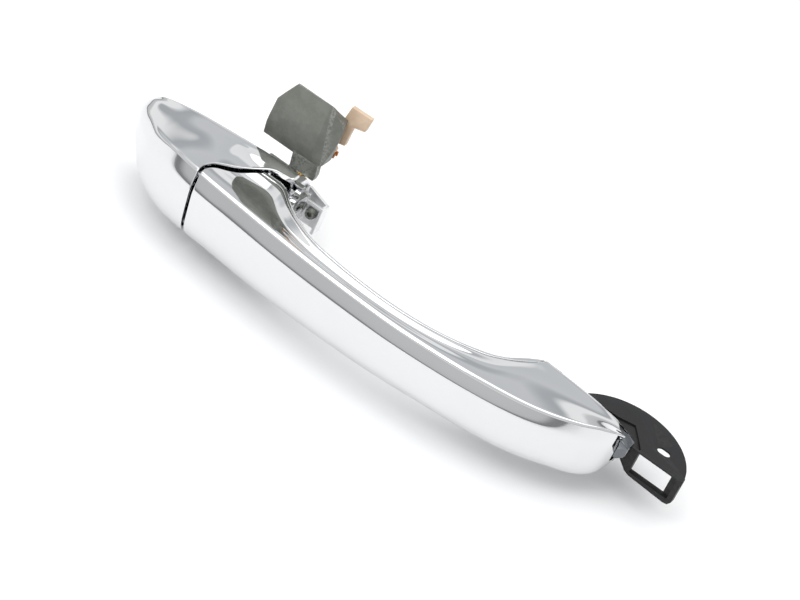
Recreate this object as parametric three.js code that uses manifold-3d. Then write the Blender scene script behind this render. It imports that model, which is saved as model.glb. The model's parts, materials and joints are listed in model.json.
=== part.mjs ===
// Pull-strap car door handle: fixed end cap, swinging strap with its hinge horn, and bell crank.
// Millimetres. X runs along the strap towards the horn, Y into the door, Z up; the door skin is Y = 0.
import * as THREE from 'three';
import * as BufferGeometryUtils from 'three/addons/utils/BufferGeometryUtils.js';
import Module from 'manifold-3d';

const wasm = await Module();
wasm.setup();

// ---------------------------------------------------------------- driving dimensions
const BASE_CENTRE_X = 106;       // from the middle of the strap back to the middle of the base
const WALL = 2.2;                // wall of the plated shells
const CLEAR = 0.35;              // gap kept between touching pieces
const SEAM_HALF = 0.6;           // half the seam between the cap and the strap
const SEAM_SLANT = 0.13;         // the seam leans forward towards its lower end

const CAP_END = -144.3;
const CAP_INNER_END = -66;
const STRAP_START = -98;
const STRAP_END = 111;
const FOOT_START = 66;           // from here on the strap's back lies on the door

const SWING = { x: 109, y: -4 };         // vertical axis that the strap swings on
const DISC_RADIUS = 30.6;
const DISC = { low: -3.1, high: -0.8 };  // the horn's half-disc plate

const CRANK = { y: 12, z: 2 };           // axis of the bell crank, along X
const CRANK_ARM = 13;                    // from that axis to the drive stud
const CRANK_LEAN = THREE.MathUtils.degToRad(20);
const STUD = {
  y: CRANK.y + CRANK_ARM * Math.sin(CRANK_LEAN),
  z: CRANK.z - CRANK_ARM * Math.cos(CRANK_LEAN),
  radius: 2.4,
};
const PIN_RADIUS = 1.6;
const HUB_RADIUS = 4.3;

const LEG = { x0: -64.6, x1: -60.2, z0: -8.5, z1: 8 };   // the pull leg's root
const LEG_OPENING = 1.1;                                 // gap round the hinge leg in the outer cover
const LEG_SCREW_X = -62.4;
const LEG_SCREWS = [-4.5, 4.5];                          // their heights
const FOOT_SCREWS = [72.5, 80.5];                        // their places along the strap

// Outer form: x, then the value there.
const CREASE_Y = [[-144.3, -3], [-142.5, -8], [-138.5, -14], [-132.5, -20.5], [-122, -30], [-108.5, -36.2],
  [-93.5, -39.5], [-76.4, -41.4], [-54, -43.9], [-32, -45.4], [-11, -46], [10, -45.8], [30, -44.2],
  [50, -41.5], [70, -37.1], [84, -31.8], [96, -24.5], [103, -18.4], [108, -12.9], [111, -7]];
const CREASE_Z = [[-144.3, 1.2], [-142.5, 3.6], [-138.5, 6.6], [-132.5, 9.2], [-122, 12.4], [-108.5, 15],
  [-97, 15.4], [-76, 15.1], [-54, 15], [-11, 14.2], [30, 13.3], [70, 12.8], [96, 12.4], [103, 12],
  [108, 10.2], [111, 6.6]];
const CAP_BACK_Z = [[-144.3, 1], [-142, 4.4], [-139.6, 6.8], [-134.8, 8.9], [-120.8, 11.8], [-111.7, 12.9],
  [-89, 15], [-76, 15.7], [-66, 15.4]];
const STRAP_BACK_Z = [[-98, 15], [-54, 14.9], [-11, 14], [30, 13], [50, 12.4], [65, 11], [75, 10.1],
  [91, 8.8], [102, 7.2], [107, 5.6], [111, 4]];
const STRAP_BACK_Y = [[-98, -8], [-71, -7.6], [-66, -9.4], [-62.6, -12.8], [-58.4, -16.9], [-51.4, -21.9],
  [-44, -25.2], [-34, -27.8], [-14.8, -29.6], [6.3, -29.4], [26.5, -26.1], [45.8, -18.9], [53.1, -13.7],
  [59.6, -5.6], [64, -1.2], [FOOT_START, 0], [111, 0]];
const STRAP_ROUND = [[-98, 1.6], [-66, 2.2], [-50, 6], [-35, 7], [30, 7], [50, 5.5], [60, 3], [66, 1.4],
  [111, 1.2]];
// How much further the strap reaches below the middle than above it.
const UNDERSIDE = [[40, 1], [58, 1.05], [75, 1.09], [90, 1.1], [97, 1.16], [103, 1.24], [108, 1.22],
  [111, 1.1]];
const PARTING_Y = [[-104, -13.6], [-71, -13.6], [-66, -15.2], [-58, -22.6], [-50, -28.2], [-36, -33.3],
  [-10, -36], [8, -35.6], [26, -32.4], [46, -25], [54, -18.4], [60, -11], [64, -4], [66.5, 6]];
// Plan of the seam, from the front face round the strap's tongue.
const SEAM = [[-93.6, -70], [-93.6, -40], [-93.9, -34], [-92, -28], [-86, -20.4], [-79.5, -12.8],
  [-74.6, -8.5], [-70.4, -7.5]];

// ---------------------------------------------------------------- finishes
const finish = (color, roughness, metalness) =>
  new THREE.MeshStandardMaterial({ color, roughness, metalness });
const FINISHES = {
  chrome: () => finish(0xe6e8ea, 0.06, 1),
  dark_chrome: () => finish(0x6d7276, 0.18, 1),
  black_nylon: () => finish(0x3b3c3e, 0.5, 0),
  core_nylon: () => finish(0x2c2d2f, 0.65, 0),
  zinc: () => finish(0x70736b, 0.55, 0.6),
  beige_acetal: () => finish(0xd6bea6, 0.45, 0),
  bush_acetal: () => finish(0xe8e6df, 0.4, 0),
  steel: () => finish(0xb4b6b8, 0.3, 1),
  yellow_steel: () => finish(0xc79a45, 0.3, 1),
  copper: () => finish(0xb9713c, 0.3, 1),
  brass: () => finish(0xc9a24a, 0.3, 1),
  rubber: () => finish(0x17181a, 0.8, 0),
};

// ---------------------------------------------------------------- shape helpers
/** Smooth curve through a table of [x, value] rows, held level past its ends. */
function curveThrough(table) {
  const slope = table.map((row, i) => {
    const before = table[Math.max(i - 1, 0)];
    const after = table[Math.min(i + 1, table.length - 1)];
    return (after[1] - before[1]) / (after[0] - before[0]);
  });
  return (x) => {
    const last = table.length - 1;
    if (x <= table[0][0]) return table[0][1];
    if (x >= table[last][0]) return table[last][1];
    const i = table.findIndex((row) => row[0] > x) - 1;
    const width = table[i + 1][0] - table[i][0];
    const t = (x - table[i][0]) / width;
    const rise = 3 * t * t - 2 * t * t * t;
    return table[i][1] * (1 - rise) + table[i + 1][1] * rise
      + width * (slope[i] * t * (1 - t) ** 2 - slope[i + 1] * t * t * (1 - t));
  };
}

/** Rows of x between two ends, closer together near both. */
function spread(from, to, count) {
  return Array.from({ length: count }, (_, i) => {
    const t = i / (count - 1);
    const eased = t - 0.6 * Math.sin(2 * Math.PI * t) / (2 * Math.PI);
    return from + (to - from) * eased;
  });
}

/** Closed skin over rings of [y, z] points, one ring at each x. */
function loft(xs, ringAt) {
  const rings = xs.map((x) => ringAt(x).map(([y, z]) => [x, y, z]));
  const sides = rings[0].length;
  const vertices = rings.flat();
  const faces = [];
  for (let i = 0; i < rings.length - 1; i += 1) {
    for (let k = 0; k < sides; k += 1) {
      const a = i * sides + k;
      const b = i * sides + (k + 1) % sides;
      faces.push([a, b, b + sides], [a, b + sides, a + sides]);
    }
  }
  const middleOf = (ring) => ring.reduce((sum, p) => sum.map((v, axis) => v + p[axis] / sides), [0, 0, 0]);
  const first = vertices.push(middleOf(rings[0])) - 1;
  const final = vertices.push(middleOf(rings.at(-1))) - 1;
  const lastRing = (rings.length - 1) * sides;
  for (let k = 0; k < sides; k += 1) {
    const next = (k + 1) % sides;
    faces.push([first, next, k], [final, lastRing + k, lastRing + next]);
  }
  const geometry = new THREE.BufferGeometry();
  geometry.setAttribute('position', new THREE.Float32BufferAttribute(vertices.flat(), 3));
  geometry.setIndex(faces.flat());
  return geometry;
}

/** A flat outline of [u, v] points as a three.js shape. */
function outline(points) {
  return new THREE.Shape(points.map(([u, v]) => new THREE.Vector2(u, v)));
}

/** The outline of a rectangle with rounded corners. */
function roundedRectangle(u0, u1, v0, v1, r) {
  const shape = new THREE.Shape();
  shape.absarc(u1 - r, v1 - r, r, 0, Math.PI / 2);
  shape.absarc(u0 + r, v1 - r, r, Math.PI / 2, Math.PI);
  shape.absarc(u0 + r, v0 + r, r, Math.PI, 1.5 * Math.PI);
  shape.absarc(u1 - r, v0 + r, r, 1.5 * Math.PI, 2 * Math.PI);
  shape.closePath();
  return shape;
}

const extrude = (shape, depth) =>
  new THREE.ExtrudeGeometry(shape, { depth, bevelEnabled: false, curveSegments: 5 });

/** Plate with its outline in X and Y, from z0 up to z1. */
function plateXY(shape, z0, z1) {
  return extrude(shape, z1 - z0).translate(0, 0, z0);
}

/** Plate with its outline in X and Z, from y0 to y1. */
function plateXZ(shape, y0, y1) {
  return extrude(shape, y1 - y0).rotateX(Math.PI / 2).translate(0, y1, 0);
}

/** Plate with its outline in Y and Z, from x0 to x1. */
function plateYZ(shape, x0, x1) {
  const turn = new THREE.Matrix4().makeBasis(
    new THREE.Vector3(0, 1, 0), new THREE.Vector3(0, 0, 1), new THREE.Vector3(1, 0, 0));
  return extrude(shape, x1 - x0).applyMatrix4(turn).translate(x0, 0, 0);
}

function block(x0, x1, y0, y1, z0, z1) {
  return new THREE.BoxGeometry(x1 - x0, y1 - y0, z1 - z0)
    .translate((x0 + x1) / 2, (y0 + y1) / 2, (z0 + z1) / 2);
}

/** Rod along X at (y, z). */
function rodX(x0, x1, y, z, radius, sides = 20) {
  return new THREE.CylinderGeometry(radius, radius, x1 - x0, sides)
    .rotateZ(-Math.PI / 2).translate((x0 + x1) / 2, y, z);
}

/** Rod along Y at (x, z). */
function rodY(y0, y1, x, z, radius, sides = 20) {
  return new THREE.CylinderGeometry(radius, radius, y1 - y0, sides).translate(x, (y0 + y1) / 2, z);
}

/** Turned piece along Y: profile rows are [radius, y], from the axis back to the axis. */
function turnedY(profile, x, z, sides = 16) {
  const points = profile.map(([radius, y]) => new THREE.Vector2(radius, y));
  return new THREE.LatheGeometry(points, sides).translate(x, 0, z);
}

// ---------------------------------------------------------------- joining and cutting
function toSolid(geometry) {
  const bare = geometry.clone();
  bare.deleteAttribute('normal');
  bare.deleteAttribute('uv');
  const merged = BufferGeometryUtils.mergeVertices(bare, 1e-4);
  return new wasm.Manifold(new wasm.Mesh({
    numProp: 3,
    vertProperties: new Float32Array(merged.attributes.position.array),
    triVerts: new Uint32Array(merged.index.array),
  }));
}

function toGeometry(solid) {
  const mesh = solid.getMesh();
  const geometry = new THREE.BufferGeometry();
  geometry.setAttribute('position', new THREE.Float32BufferAttribute(mesh.vertProperties, 3));
  geometry.setIndex(Array.from(mesh.triVerts));
  return geometry;
}

const combine = (how) => (first, ...others) =>
  toGeometry(others.reduce((solid, other) => solid[how](toSolid(other)), toSolid(first)));
const join = combine('add');
const cut = combine('subtract');
const meet = combine('intersect');

// ---------------------------------------------------------------- the plated form
const creaseY = curveThrough(CREASE_Y);
const creaseZ = curveThrough(CREASE_Z);
const capBackZ = curveThrough(CAP_BACK_Z);
const strapBackZ = curveThrough(STRAP_BACK_Z);
const strapBackY = curveThrough(STRAP_BACK_Y);
const strapRound = curveThrough(STRAP_ROUND);
const underside = curveThrough(UNDERSIDE);

/** Half a section, from the middle of the front face over the crease to the middle of the back. */
function halfSection(front, high, back, backHigh, round) {
  const bulge = 2.3 * high / 15;
  const points = [0, 0.3, 0.58, 0.8, 0.93].map((s) => [front - bulge * (1 - s * s), high * s]);
  points.push([front + 0.35, high - 0.15], [front + 1.2, high]);
  const shoulder = back - round;
  [0.35, 0.7].forEach((t) => {
    const sag = 0.5 * Math.sin(Math.PI * t);
    points.push([front + (shoulder - front) * t, high + (backHigh - high) * t - sag]);
  });
  for (let k = 0; k <= 4; k += 1) {
    const turn = (Math.PI / 2) * (1 - k / 4);
    points.push([shoulder + round * Math.cos(turn), backHigh - round * (1 - Math.sin(turn))]);
  }
  points.push([back, 0]);
  return points;
}

function fullRing(half, below = 1) {
  const mirrored = half.slice(1, -1).reverse().map(([y, z]) => [y, -z * below]);
  return [...half, ...mirrored].reverse();
}

/** The cap's form, its faces moved inwards by inset, and its back at backY. */
function capForm(inset, from, to, backY, rows) {
  return loft(spread(from, to, rows), (x) => {
    const source = x - inset * Math.max(0, (-110 - x) / 34);
    const high = Math.max(creaseZ(source) - inset, 0.6);
    const backHigh = Math.max(capBackZ(source) - inset, 0.5);
    const front = Math.min(creaseY(source) + inset, backY - 1.8);
    return fullRing(halfSection(front, high, backY, backHigh, Math.min(0.8, backHigh / 2)));
  });
}

/** The strap's form, its faces moved inwards by inset; the foot's back stays open if asked. */
function strapForm(inset, from, to, rows, openFoot = false) {
  return loft(spread(from, to, rows), (x) => {
    const foot = THREE.MathUtils.smoothstep(x, FOOT_START - 4, FOOT_START + 2);
    const back = strapBackY(x) - inset * (openFoot ? 1 - 1.8 * foot : 1);
    const high = creaseZ(x) - inset;
    const backHigh = strapBackZ(x) - inset;
    const round = Math.max(strapRound(x) - inset, 0.5);
    const front = Math.min(creaseY(x) + inset, back - 2);
    return fullRing(halfSection(front, high, back, backHigh, round), underside(x));
  });
}

/** Everything on the strap's side of the seam, moved by (dx, dy), with room up to backY. */
function strapSide(dx, dy, lastX, backY) {
  const shape = new THREE.Shape();
  shape.moveTo(...SEAM[0]);
  shape.lineTo(...SEAM[1]);
  shape.splineThru(SEAM.slice(2).map(([x, y]) => new THREE.Vector2(x, y)));
  shape.lineTo(SEAM.at(-1)[0], backY);
  shape.lineTo(lastX, backY);
  shape.lineTo(lastX, SEAM[0][1]);
  const slant = new THREE.Matrix4().set(
    1, 0, -SEAM_SLANT, SEAM_SLANT * 15 + dx, 0, 1, 0, dy, 0, 0, 1, 0, 0, 0, 0, 1);
  return plateXY(shape, -30, 30).applyMatrix4(slant);
}

/** Everything behind the line where the strap's two covers meet. */
function behindParting(shift) {
  const points = PARTING_Y.map(([x, y]) => [x, y + shift]);
  return plateXY(outline([...points, [66.5, 30], [-104, 30]].reverse()), -30, 30);
}

/** Room for the pull leg's root. */
function legRoom(gap) {
  return block(LEG.x0 - gap, LEG.x1 + gap, -19 - gap, 3, LEG.z0 - gap, LEG.z1 + gap);
}

/** Room for the hinge leg. */
function hingeLegRoom(gap) {
  return block(88 - gap, 125, -9.5 - gap, -1.9 + gap, -4.2 - gap, 5.6 + gap);
}

// ---------------------------------------------------------------- fixed pieces
function endCapShell() {
  const outside = capForm(0, CAP_END, CAP_INNER_END, -0.3, 22);
  const inside = capForm(WALL, CAP_END + 3.2, CAP_INNER_END + 6, 4, 20);
  return cut(outside, inside, strapSide(-SEAM_HALF, SEAM_HALF, -50, -8 + SEAM_HALF));
}

function endCapBase() {
  const plate = meet(capForm(WALL + CLEAR, CAP_END + 5, CAP_INNER_END, 2, 18),
    block(-150, CAP_INNER_END - 0.5, -5, -1.8, -30, 30));
  const leftLug = plateYZ(outline([[-4, 6], [2, 6.2], [12, 6.2], [15, 4], [15, -0.4], [12, -2.6],
    [-4, -5]]), -91.8, -88.8);
  const rightLug = plateYZ(outline([[-4, 9], [9, 9], [12.6, 5.6], [15.2, 3.6], [15.2, 0], [12, -2.4],
    [-4, -4.4]]), -69.4, -66.6);
  const rail = (x1, z0, z1) => block(-72, x1, -4, -1.4, z0, z1);
  const boss = rodY(-4, 8, -118, 0, 5.4);
  const body = join(plate, boss, leftLug, rightLug, rail(-62, 9.4, 12.7), rail(-66.7, -12.9, -9.2));
  return cut(body, rodX(-95, -60, CRANK.y, CRANK.z, PIN_RADIUS + 0.3), rodY(-6, 9, -118, 0, 3.6));
}

function rearGasket() {
  const pad = meet(capForm(WALL + CLEAR + 0.2, CAP_END + 5.6, CAP_INNER_END, 2, 16),
    block(-150, -92.2, -1.45, 0, -30, 30));
  return cut(pad, rodY(-3, 3, -118, 0, 5.8));
}

function capScrewInsert() {
  return cut(rodY(0, 7.6, -118, 0, 3.2), rodY(-1, 9, -118, 0, 2.25));
}

function capScrew() {
  return turnedY([[0, -1], [1.5, -1], [1.9, -0.4], [1.9, 8.4], [5, 8.4], [5, 9.6], [3.9, 11], [2.4, 11.6],
    [1.5, 11.6], [1.5, 10.2], [0, 10.2]], -118, 0);
}

function crankPin() {
  const shank = rodX(-93.6, -65.4, CRANK.y, CRANK.z, PIN_RADIUS);
  const head = rodX(-66.4, -65.4, CRANK.y, CRANK.z, 2.6);
  return join(shank, head);
}

function crankPinClip() {
  const ring = new THREE.Shape();
  ring.absarc(0, 0, 3.2, 0.5, 2 * Math.PI - 0.5, false);
  ring.absarc(0, 0, PIN_RADIUS + 0.3, 2 * Math.PI - 0.9, 0.9, true);
  ring.closePath();
  return plateYZ(ring, -93, -92.2).translate(0, CRANK.y, CRANK.z);
}

function crankBush(x0, x1) {
  return cut(rodX(x0, x1, CRANK.y, CRANK.z, 2.7), rodX(x0 - 1, x1 + 1, CRANK.y, CRANK.z, PIN_RADIUS + 0.3));
}

/** Torsion spring round the crank's nose, with a leg down and one across to the right lug. */
function returnSpring() {
  const spring = { x: -73, width: 2.7, turns: 2.2, radius: 4.3, wire: 0.6, steps: 32 };
  const at = (x, angle) => new THREE.Vector3(
    x, CRANK.y + spring.radius * Math.cos(angle), CRANK.z + spring.radius * Math.sin(angle));
  const coil = Array.from({ length: spring.steps + 1 }, (_, i) => {
    const t = i / spring.steps;
    return at(spring.x + spring.width * t, 2 * Math.PI * spring.turns * t);
  });
  const downLeg = coil[0].clone().add(new THREE.Vector3(0, 0, -7));
  const crossLeg = coil.at(-1).clone().add(new THREE.Vector3(3.4, 3.8, 0.9));
  const points = [downLeg, ...coil, crossLeg];
  const wire = new THREE.Shape();
  wire.absarc(0, 0, spring.wire, 0, 2 * Math.PI);
  return new THREE.ExtrudeGeometry(wire, {
    steps: 76, curveSegments: 4, bevelEnabled: false, extrudePath: new THREE.CatmullRomCurve3(points),
  });
}

function strapBumper() {
  return turnedY([[0, -8.3], [2.2, -8.3], [3, -7.6], [3, -5.4], [0, -5.4]], -94.5, 0);
}

// ---------------------------------------------------------------- strap pieces
function strapShell() {
  const outside = meet(strapForm(0, STRAP_START, STRAP_END, 34),
    strapSide(SEAM_HALF, -SEAM_HALF, 130, 20));
  const inside = meet(strapForm(WALL, STRAP_START, STRAP_END + 3, 30, true),
    strapSide(SEAM_HALF + WALL, -SEAM_HALF - WALL, 130, 20));
  return cut(outside, inside);
}

const shell = strapShell();

function gripOuterCover() {
  return cut(shell, behindParting(-0.15), hingeLegRoom(LEG_OPENING));
}

function gripInnerCover() {
  return cut(meet(shell, behindParting(0.15)), legRoom(CLEAR));
}

function gripCore() {
  const beam = meet(strapForm(WALL + CLEAR + 0.1, STRAP_START, STRAP_END + 3, 30),
    block(STRAP_START, 92, -60, -2, -20, 20),
    strapSide(SEAM_HALF + WALL + 0.6, -SEAM_HALF - WALL - 0.6, 130, 20));
  const pockets = [-36, -12, 12, 36].map((x) => block(x - 9, x + 9, -60, creaseY(x) + 10, -9, 9));
  return cut(beam, legRoom(CLEAR), block(60, 120, -5.6, 5, -20, 20), hingeLegRoom(CLEAR),
    ...pockets, ...FOOT_SCREWS.map((x) => rodY(-18, 0, x, 0, 1.9)),
    ...LEG_SCREWS.map((z) => rodY(-30, -15, LEG_SCREW_X, z, 1.6)));
}

function pullLeg() {
  const root = block(LEG.x0, LEG.x1, -19, 3, LEG.z0, LEG.z1);
  const web = plateYZ(outline([[2.2, 5.1], [2.2, -8.2], [8, -15], [21.4, -15], [21.4, -4.4], [19, -3.4],
    [10, -3], [7.7, 5.1]]), LEG.x0, LEG.x1 - 1);
  const frontBar = block(LEG.x1 - 2, -52, 2.6, 3.9, 3.3, 4.8);
  const endWall = block(-53.3, -52, 2.6, 8, -9, 4.8);
  const backWall = plateXZ(outline([[-63, 8.2], [-63, -9.2], [-52.2, -9.2], [-52.2, 4.6]]), 6.8, 8.1);
  const studSlot = roundedRectangle(STUD.y - 3.1, STUD.y + 3.1, STUD.z - 3.6, STUD.z + 5.2, 2.5);
  return cut(join(root, web, frontBar, endWall, backWall),
    plateYZ(studSlot, LEG.x0 - 1, LEG.x1 + 0.4),
    rodY(6, 10, -57.6, -2.4, 1.6),
    ...LEG_SCREWS.map((z) => rodY(-20, 4, LEG_SCREW_X, z, 1.6)),
    ...LEG_SCREWS.map((z) => rodY(-1.4, 4, LEG_SCREW_X, z, 2)));
}

function legScrew(z) {
  return turnedY([[0, -27], [0.8, -27], [1.25, -26], [1.25, -1], [1.7, -1], [1.7, 0.6], [1.3, 1.2], [0, 1.2]],
    LEG_SCREW_X, z, 14);
}

function legStopBolt() {
  return turnedY([[0, 4.2], [2, 4.2], [2.6, 4.9], [2.6, 6.75], [1.25, 6.75], [1.25, 9.8], [0, 9.8]],
    -57.6, -2.4, 20);
}

function hingeLeg() {
  const profile = outline([[89, -4], [89, 5.4], [110.5, 5.4], [114.4, 3.8], [114.4, -1.2], [111.4, -3.9]]);
  const body = plateXZ(profile, -9.2, -2.2);
  return cut(body, block(93, 106, -12, -6.8, -2.2, 2.8));
}

function hingeHorn() {
  const disc = new THREE.Shape();
  const reach = DISC_RADIUS;
  const frontY = 0.3;
  const edgeY = 4.2;
  const endAngle = Math.asin((frontY - SWING.y) / reach);
  const startAngle = Math.PI - Math.asin((edgeY - SWING.y) / reach);
  disc.absarc(SWING.x, SWING.y, reach, endAngle, startAngle, false);
  disc.lineTo(109, edgeY);
  disc.quadraticCurveTo(113.5, edgeY - 0.6, 114.5, frontY);
  disc.closePath();
  const slot = roundedRectangle(121.4, 127.6, 8.4, 12.4, 2);
  const plate = new THREE.ExtrudeGeometry(disc, {
    depth: DISC.high - DISC.low, bevelEnabled: false, curveSegments: 30,
  }).translate(0, 0, DISC.low);
  const frame = plateXZ(outline([[108.6, -6.4], [112.6, -10.2], [115.4, -12.8], [118, -13.8], [135.8, -14.8],
    [137.8, -14.4], [139, -12.6], [139, DISC.high], [108.6, DISC.high]]), frontY, 3.4);
  const web = join(block(88, 116.6, 0.4, 6.6, -6.4, DISC.high), block(83, 96, -2.4, 0.8, -4.2, 4.2));
  const shelf = outline([[90, 7], [90, 12], [99.9, 12.2], [108, 14.4], [112.5, 8.6], [117, 2.4], [117, 1.4],
    [110, 1.4], [110, 7]].reverse());
  const footPlate = plateXZ(roundedRectangle(69, 99, -5.2, 5.2, 4), -5, -1.9);
  const body = join(plate, frame, web, footPlate);
  return cut(body,
    block(117.4, 133.6, -3, 9, -12.2, DISC.low),
    block(117.4, 133.6, -3, 3.5, -12.2, -1.5),
    block(133.5, 136.6, -3, 2.4, -12.2, -1.5),
    plateXY(shelf, -1.8, 2),
    plateXY(slot, -5, 2),
    plateXY(roundedRectangle(119.4, 129.6, 8, 16.2, 3), -5, -1.6),
    hingeLegRoom(CLEAR),
    ...FOOT_SCREWS.map((x) => rodY(-8, 1, x, 0, 1.9)),
    ...FOOT_SCREWS.map((x) => rodY(-3.6, 1, x, 0, 3.1)));
}

function footScrew(x) {
  return turnedY([[0, -16], [0.9, -16], [1.5, -15], [1.5, -3.2], [2.7, -3.2], [2.7, -2.2], [1.6, -1.9],
    [0, -1.9]], x, 0, 14);
}

function footPad() {
  return plateXZ(roundedRectangle(68.5, 82.6, -6, 6, 4), -1.5, -0.1);
}

// ---------------------------------------------------------------- bell crank pieces
function bellCrank() {
  const face = outline([[-93.6, 15.6], [-93.6, 25], [-93, 35.2], [-90.6, 40], [-87.3, 46.1], [-86.4, 46.9],
    [-68.4, 47.6], [-66.6, 44], [-62.8, 40.2], [-61.4, 36.6], [-61.8, 27.6], [-63.6, 17.6],
    [-64.4, 15.8]].reverse());
  const weight = plateXZ(face, 8, 18);
  const bevelRight = plateXY(outline([[-72.8, 6], [-58, 6], [-58, 14.2]]), 10, 60);
  const bevelFoot = plateYZ(outline([[7, 14], [10, 14], [7, 26]]), -100, -60);
  const bevelTop = plateYZ(outline([[7.2, 48.5], [20, 37.5], [20, 48.5]]), -100, -50);
  const bevelBack = plateXY(outline([[-63.7, 18.5], [-61.2, 12], [-55, 12], [-55, 18.5]]), 10, 60);
  const neck = plateXZ(outline([[-77.4, 17.4], [-76.4, 9.8], [-64, 9.8], [-63.6, 12.6], [-64.4, 17.4]]),
    8.6, 12);
  const stem = plateXZ(outline([[-76.6, 11], [-77.8, CRANK.z], [-74, CRANK.z], [-74, 11]]), 9.2, 14.8);
  const hub = rodX(-88, -74, CRANK.y, CRANK.z, HUB_RADIUS, 28);
  const nose = rodX(-74.4, -69.8, CRANK.y, CRANK.z, 3.5, 24);
  const arm = plateYZ(armOutline(), -77.8, -74);
  const body = join(cut(weight, bevelRight, bevelFoot, bevelTop, bevelBack), neck, stem, hub, nose, arm);
  return cut(body,
    rodX(-90, -81.8, CRANK.y, CRANK.z, 3),
    rodX(-82, -73, CRANK.y, CRANK.z, PIN_RADIUS + 0.5),
    rodX(-74.4, -67, CRANK.y, CRANK.z, 3),
    rodX(-80, -73, STUD.y, STUD.z, 1.6),
    rodY(12, 20, -72, 28, 1.5));
}

/** Drive arm in Y and Z: a bar with a round end, from the hub's axis to the stud. */
function armOutline() {
  const shape = new THREE.Shape();
  const lean = Math.atan2(STUD.z - CRANK.z, STUD.y - CRANK.y);
  shape.absarc(STUD.y, STUD.z, 3.2, lean - Math.PI / 2, lean + Math.PI / 2, false);
  shape.absarc(CRANK.y, CRANK.z, 4, lean + Math.PI / 2, lean + 1.5 * Math.PI, false);
  shape.closePath();
  return shape;
}

function driveStud() {
  return join(rodX(-78.4, -61, STUD.y, STUD.z, 1.3), rodX(-73.6, -61, STUD.y, STUD.z, STUD.radius));
}

function rodLever() {
  const stem = outline([[-67.4, 21.4], [-63.6, 21.4], [-63.2, 23.4], [-64.6, 24.4], [-63.6, 26.6],
    [-60.6, 27.4], [-60.2, 37.6], [-54.8, 39], [-53.9, 46.2], [-64.4, 46], [-65.8, 38], [-76, 33],
    [-76, 22]]);
  return join(plateXZ(stem, 18.35, 20.6), rodY(13, 19, -72, 28, 1.15));
}

function leverClip() {
  return cut(block(-67.2, -62.9, 18.4, 22, 18.6, 21), block(-66.4, -62, 19.3, 21.2, 17, 22));
}

// ---------------------------------------------------------------- assembly
function piece(name, geometry, finishName) {
  const mesh = new THREE.Mesh(geometry, FINISHES[finishName]());
  mesh.name = name;
  return mesh;
}

const doorSide = new THREE.Group();
doorSide.add(
  piece('end_cap_shell', endCapShell(), 'chrome'),
  piece('end_cap_base', endCapBase(), 'chrome'),
  piece('rear_gasket', rearGasket(), 'rubber'),
  piece('cap_screw_insert', capScrewInsert(), 'brass'),
  piece('cap_screw', capScrew(), 'steel'),
  piece('crank_pin', crankPin(), 'steel'),
  piece('crank_pin_clip', crankPinClip(), 'steel'),
  piece('return_spring', returnSpring(), 'yellow_steel'),
  piece('strap_bumper', strapBumper(), 'rubber'),
);

const strap = new THREE.Group();
strap.add(
  piece('grip_outer_cover', gripOuterCover(), 'chrome'),
  piece('grip_inner_cover', gripInnerCover(), 'chrome'),
  piece('grip_core', gripCore(), 'core_nylon'),
  piece('pull_leg', pullLeg(), 'chrome'),
  piece('leg_stop_bolt', legStopBolt(), 'zinc'),
  piece('hinge_leg', hingeLeg(), 'dark_chrome'),
  piece('hinge_horn', hingeHorn(), 'black_nylon'),
  piece('foot_pad', footPad(), 'rubber'),
);
LEG_SCREWS.forEach((z, i) => strap.add(piece(`leg_screw_${i + 1}`, legScrew(z), 'steel')));
FOOT_SCREWS.forEach((x, i) => strap.add(piece(`foot_screw_${i + 1}`, footScrew(x), 'steel')));

const crank = new THREE.Group();
crank.add(
  piece('bell_crank', bellCrank(), 'zinc'),
  piece('crank_bush_left', crankBush(-88.2, -82.2), 'bush_acetal'),
  piece('crank_bush_right', crankBush(-73, -69.6), 'bush_acetal'),
  piece('drive_stud', driveStud(), 'steel'),
  piece('rod_lever', rodLever(), 'beige_acetal'),
  piece('lever_clip', leverClip(), 'copper'),
);

const group = new THREE.Group();
group.add(doorSide, strap, crank);
group.position.x = BASE_CENTRE_X;

export default group;
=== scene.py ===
"""Chrome pull-strap car door handle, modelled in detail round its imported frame.

Lengths in tables and fields are millimetres in the design frame, whose X starts at the middle of the
strap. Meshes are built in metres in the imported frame, which starts at the middle of the end cap's base.
"""
import sys

import json
import logging
import math
from dataclasses import dataclass, field
from enum import Enum
from typing import Callable, Sequence

import bmesh
import bpy
import numpy as np
from mathutils import Matrix, Vector

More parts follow.
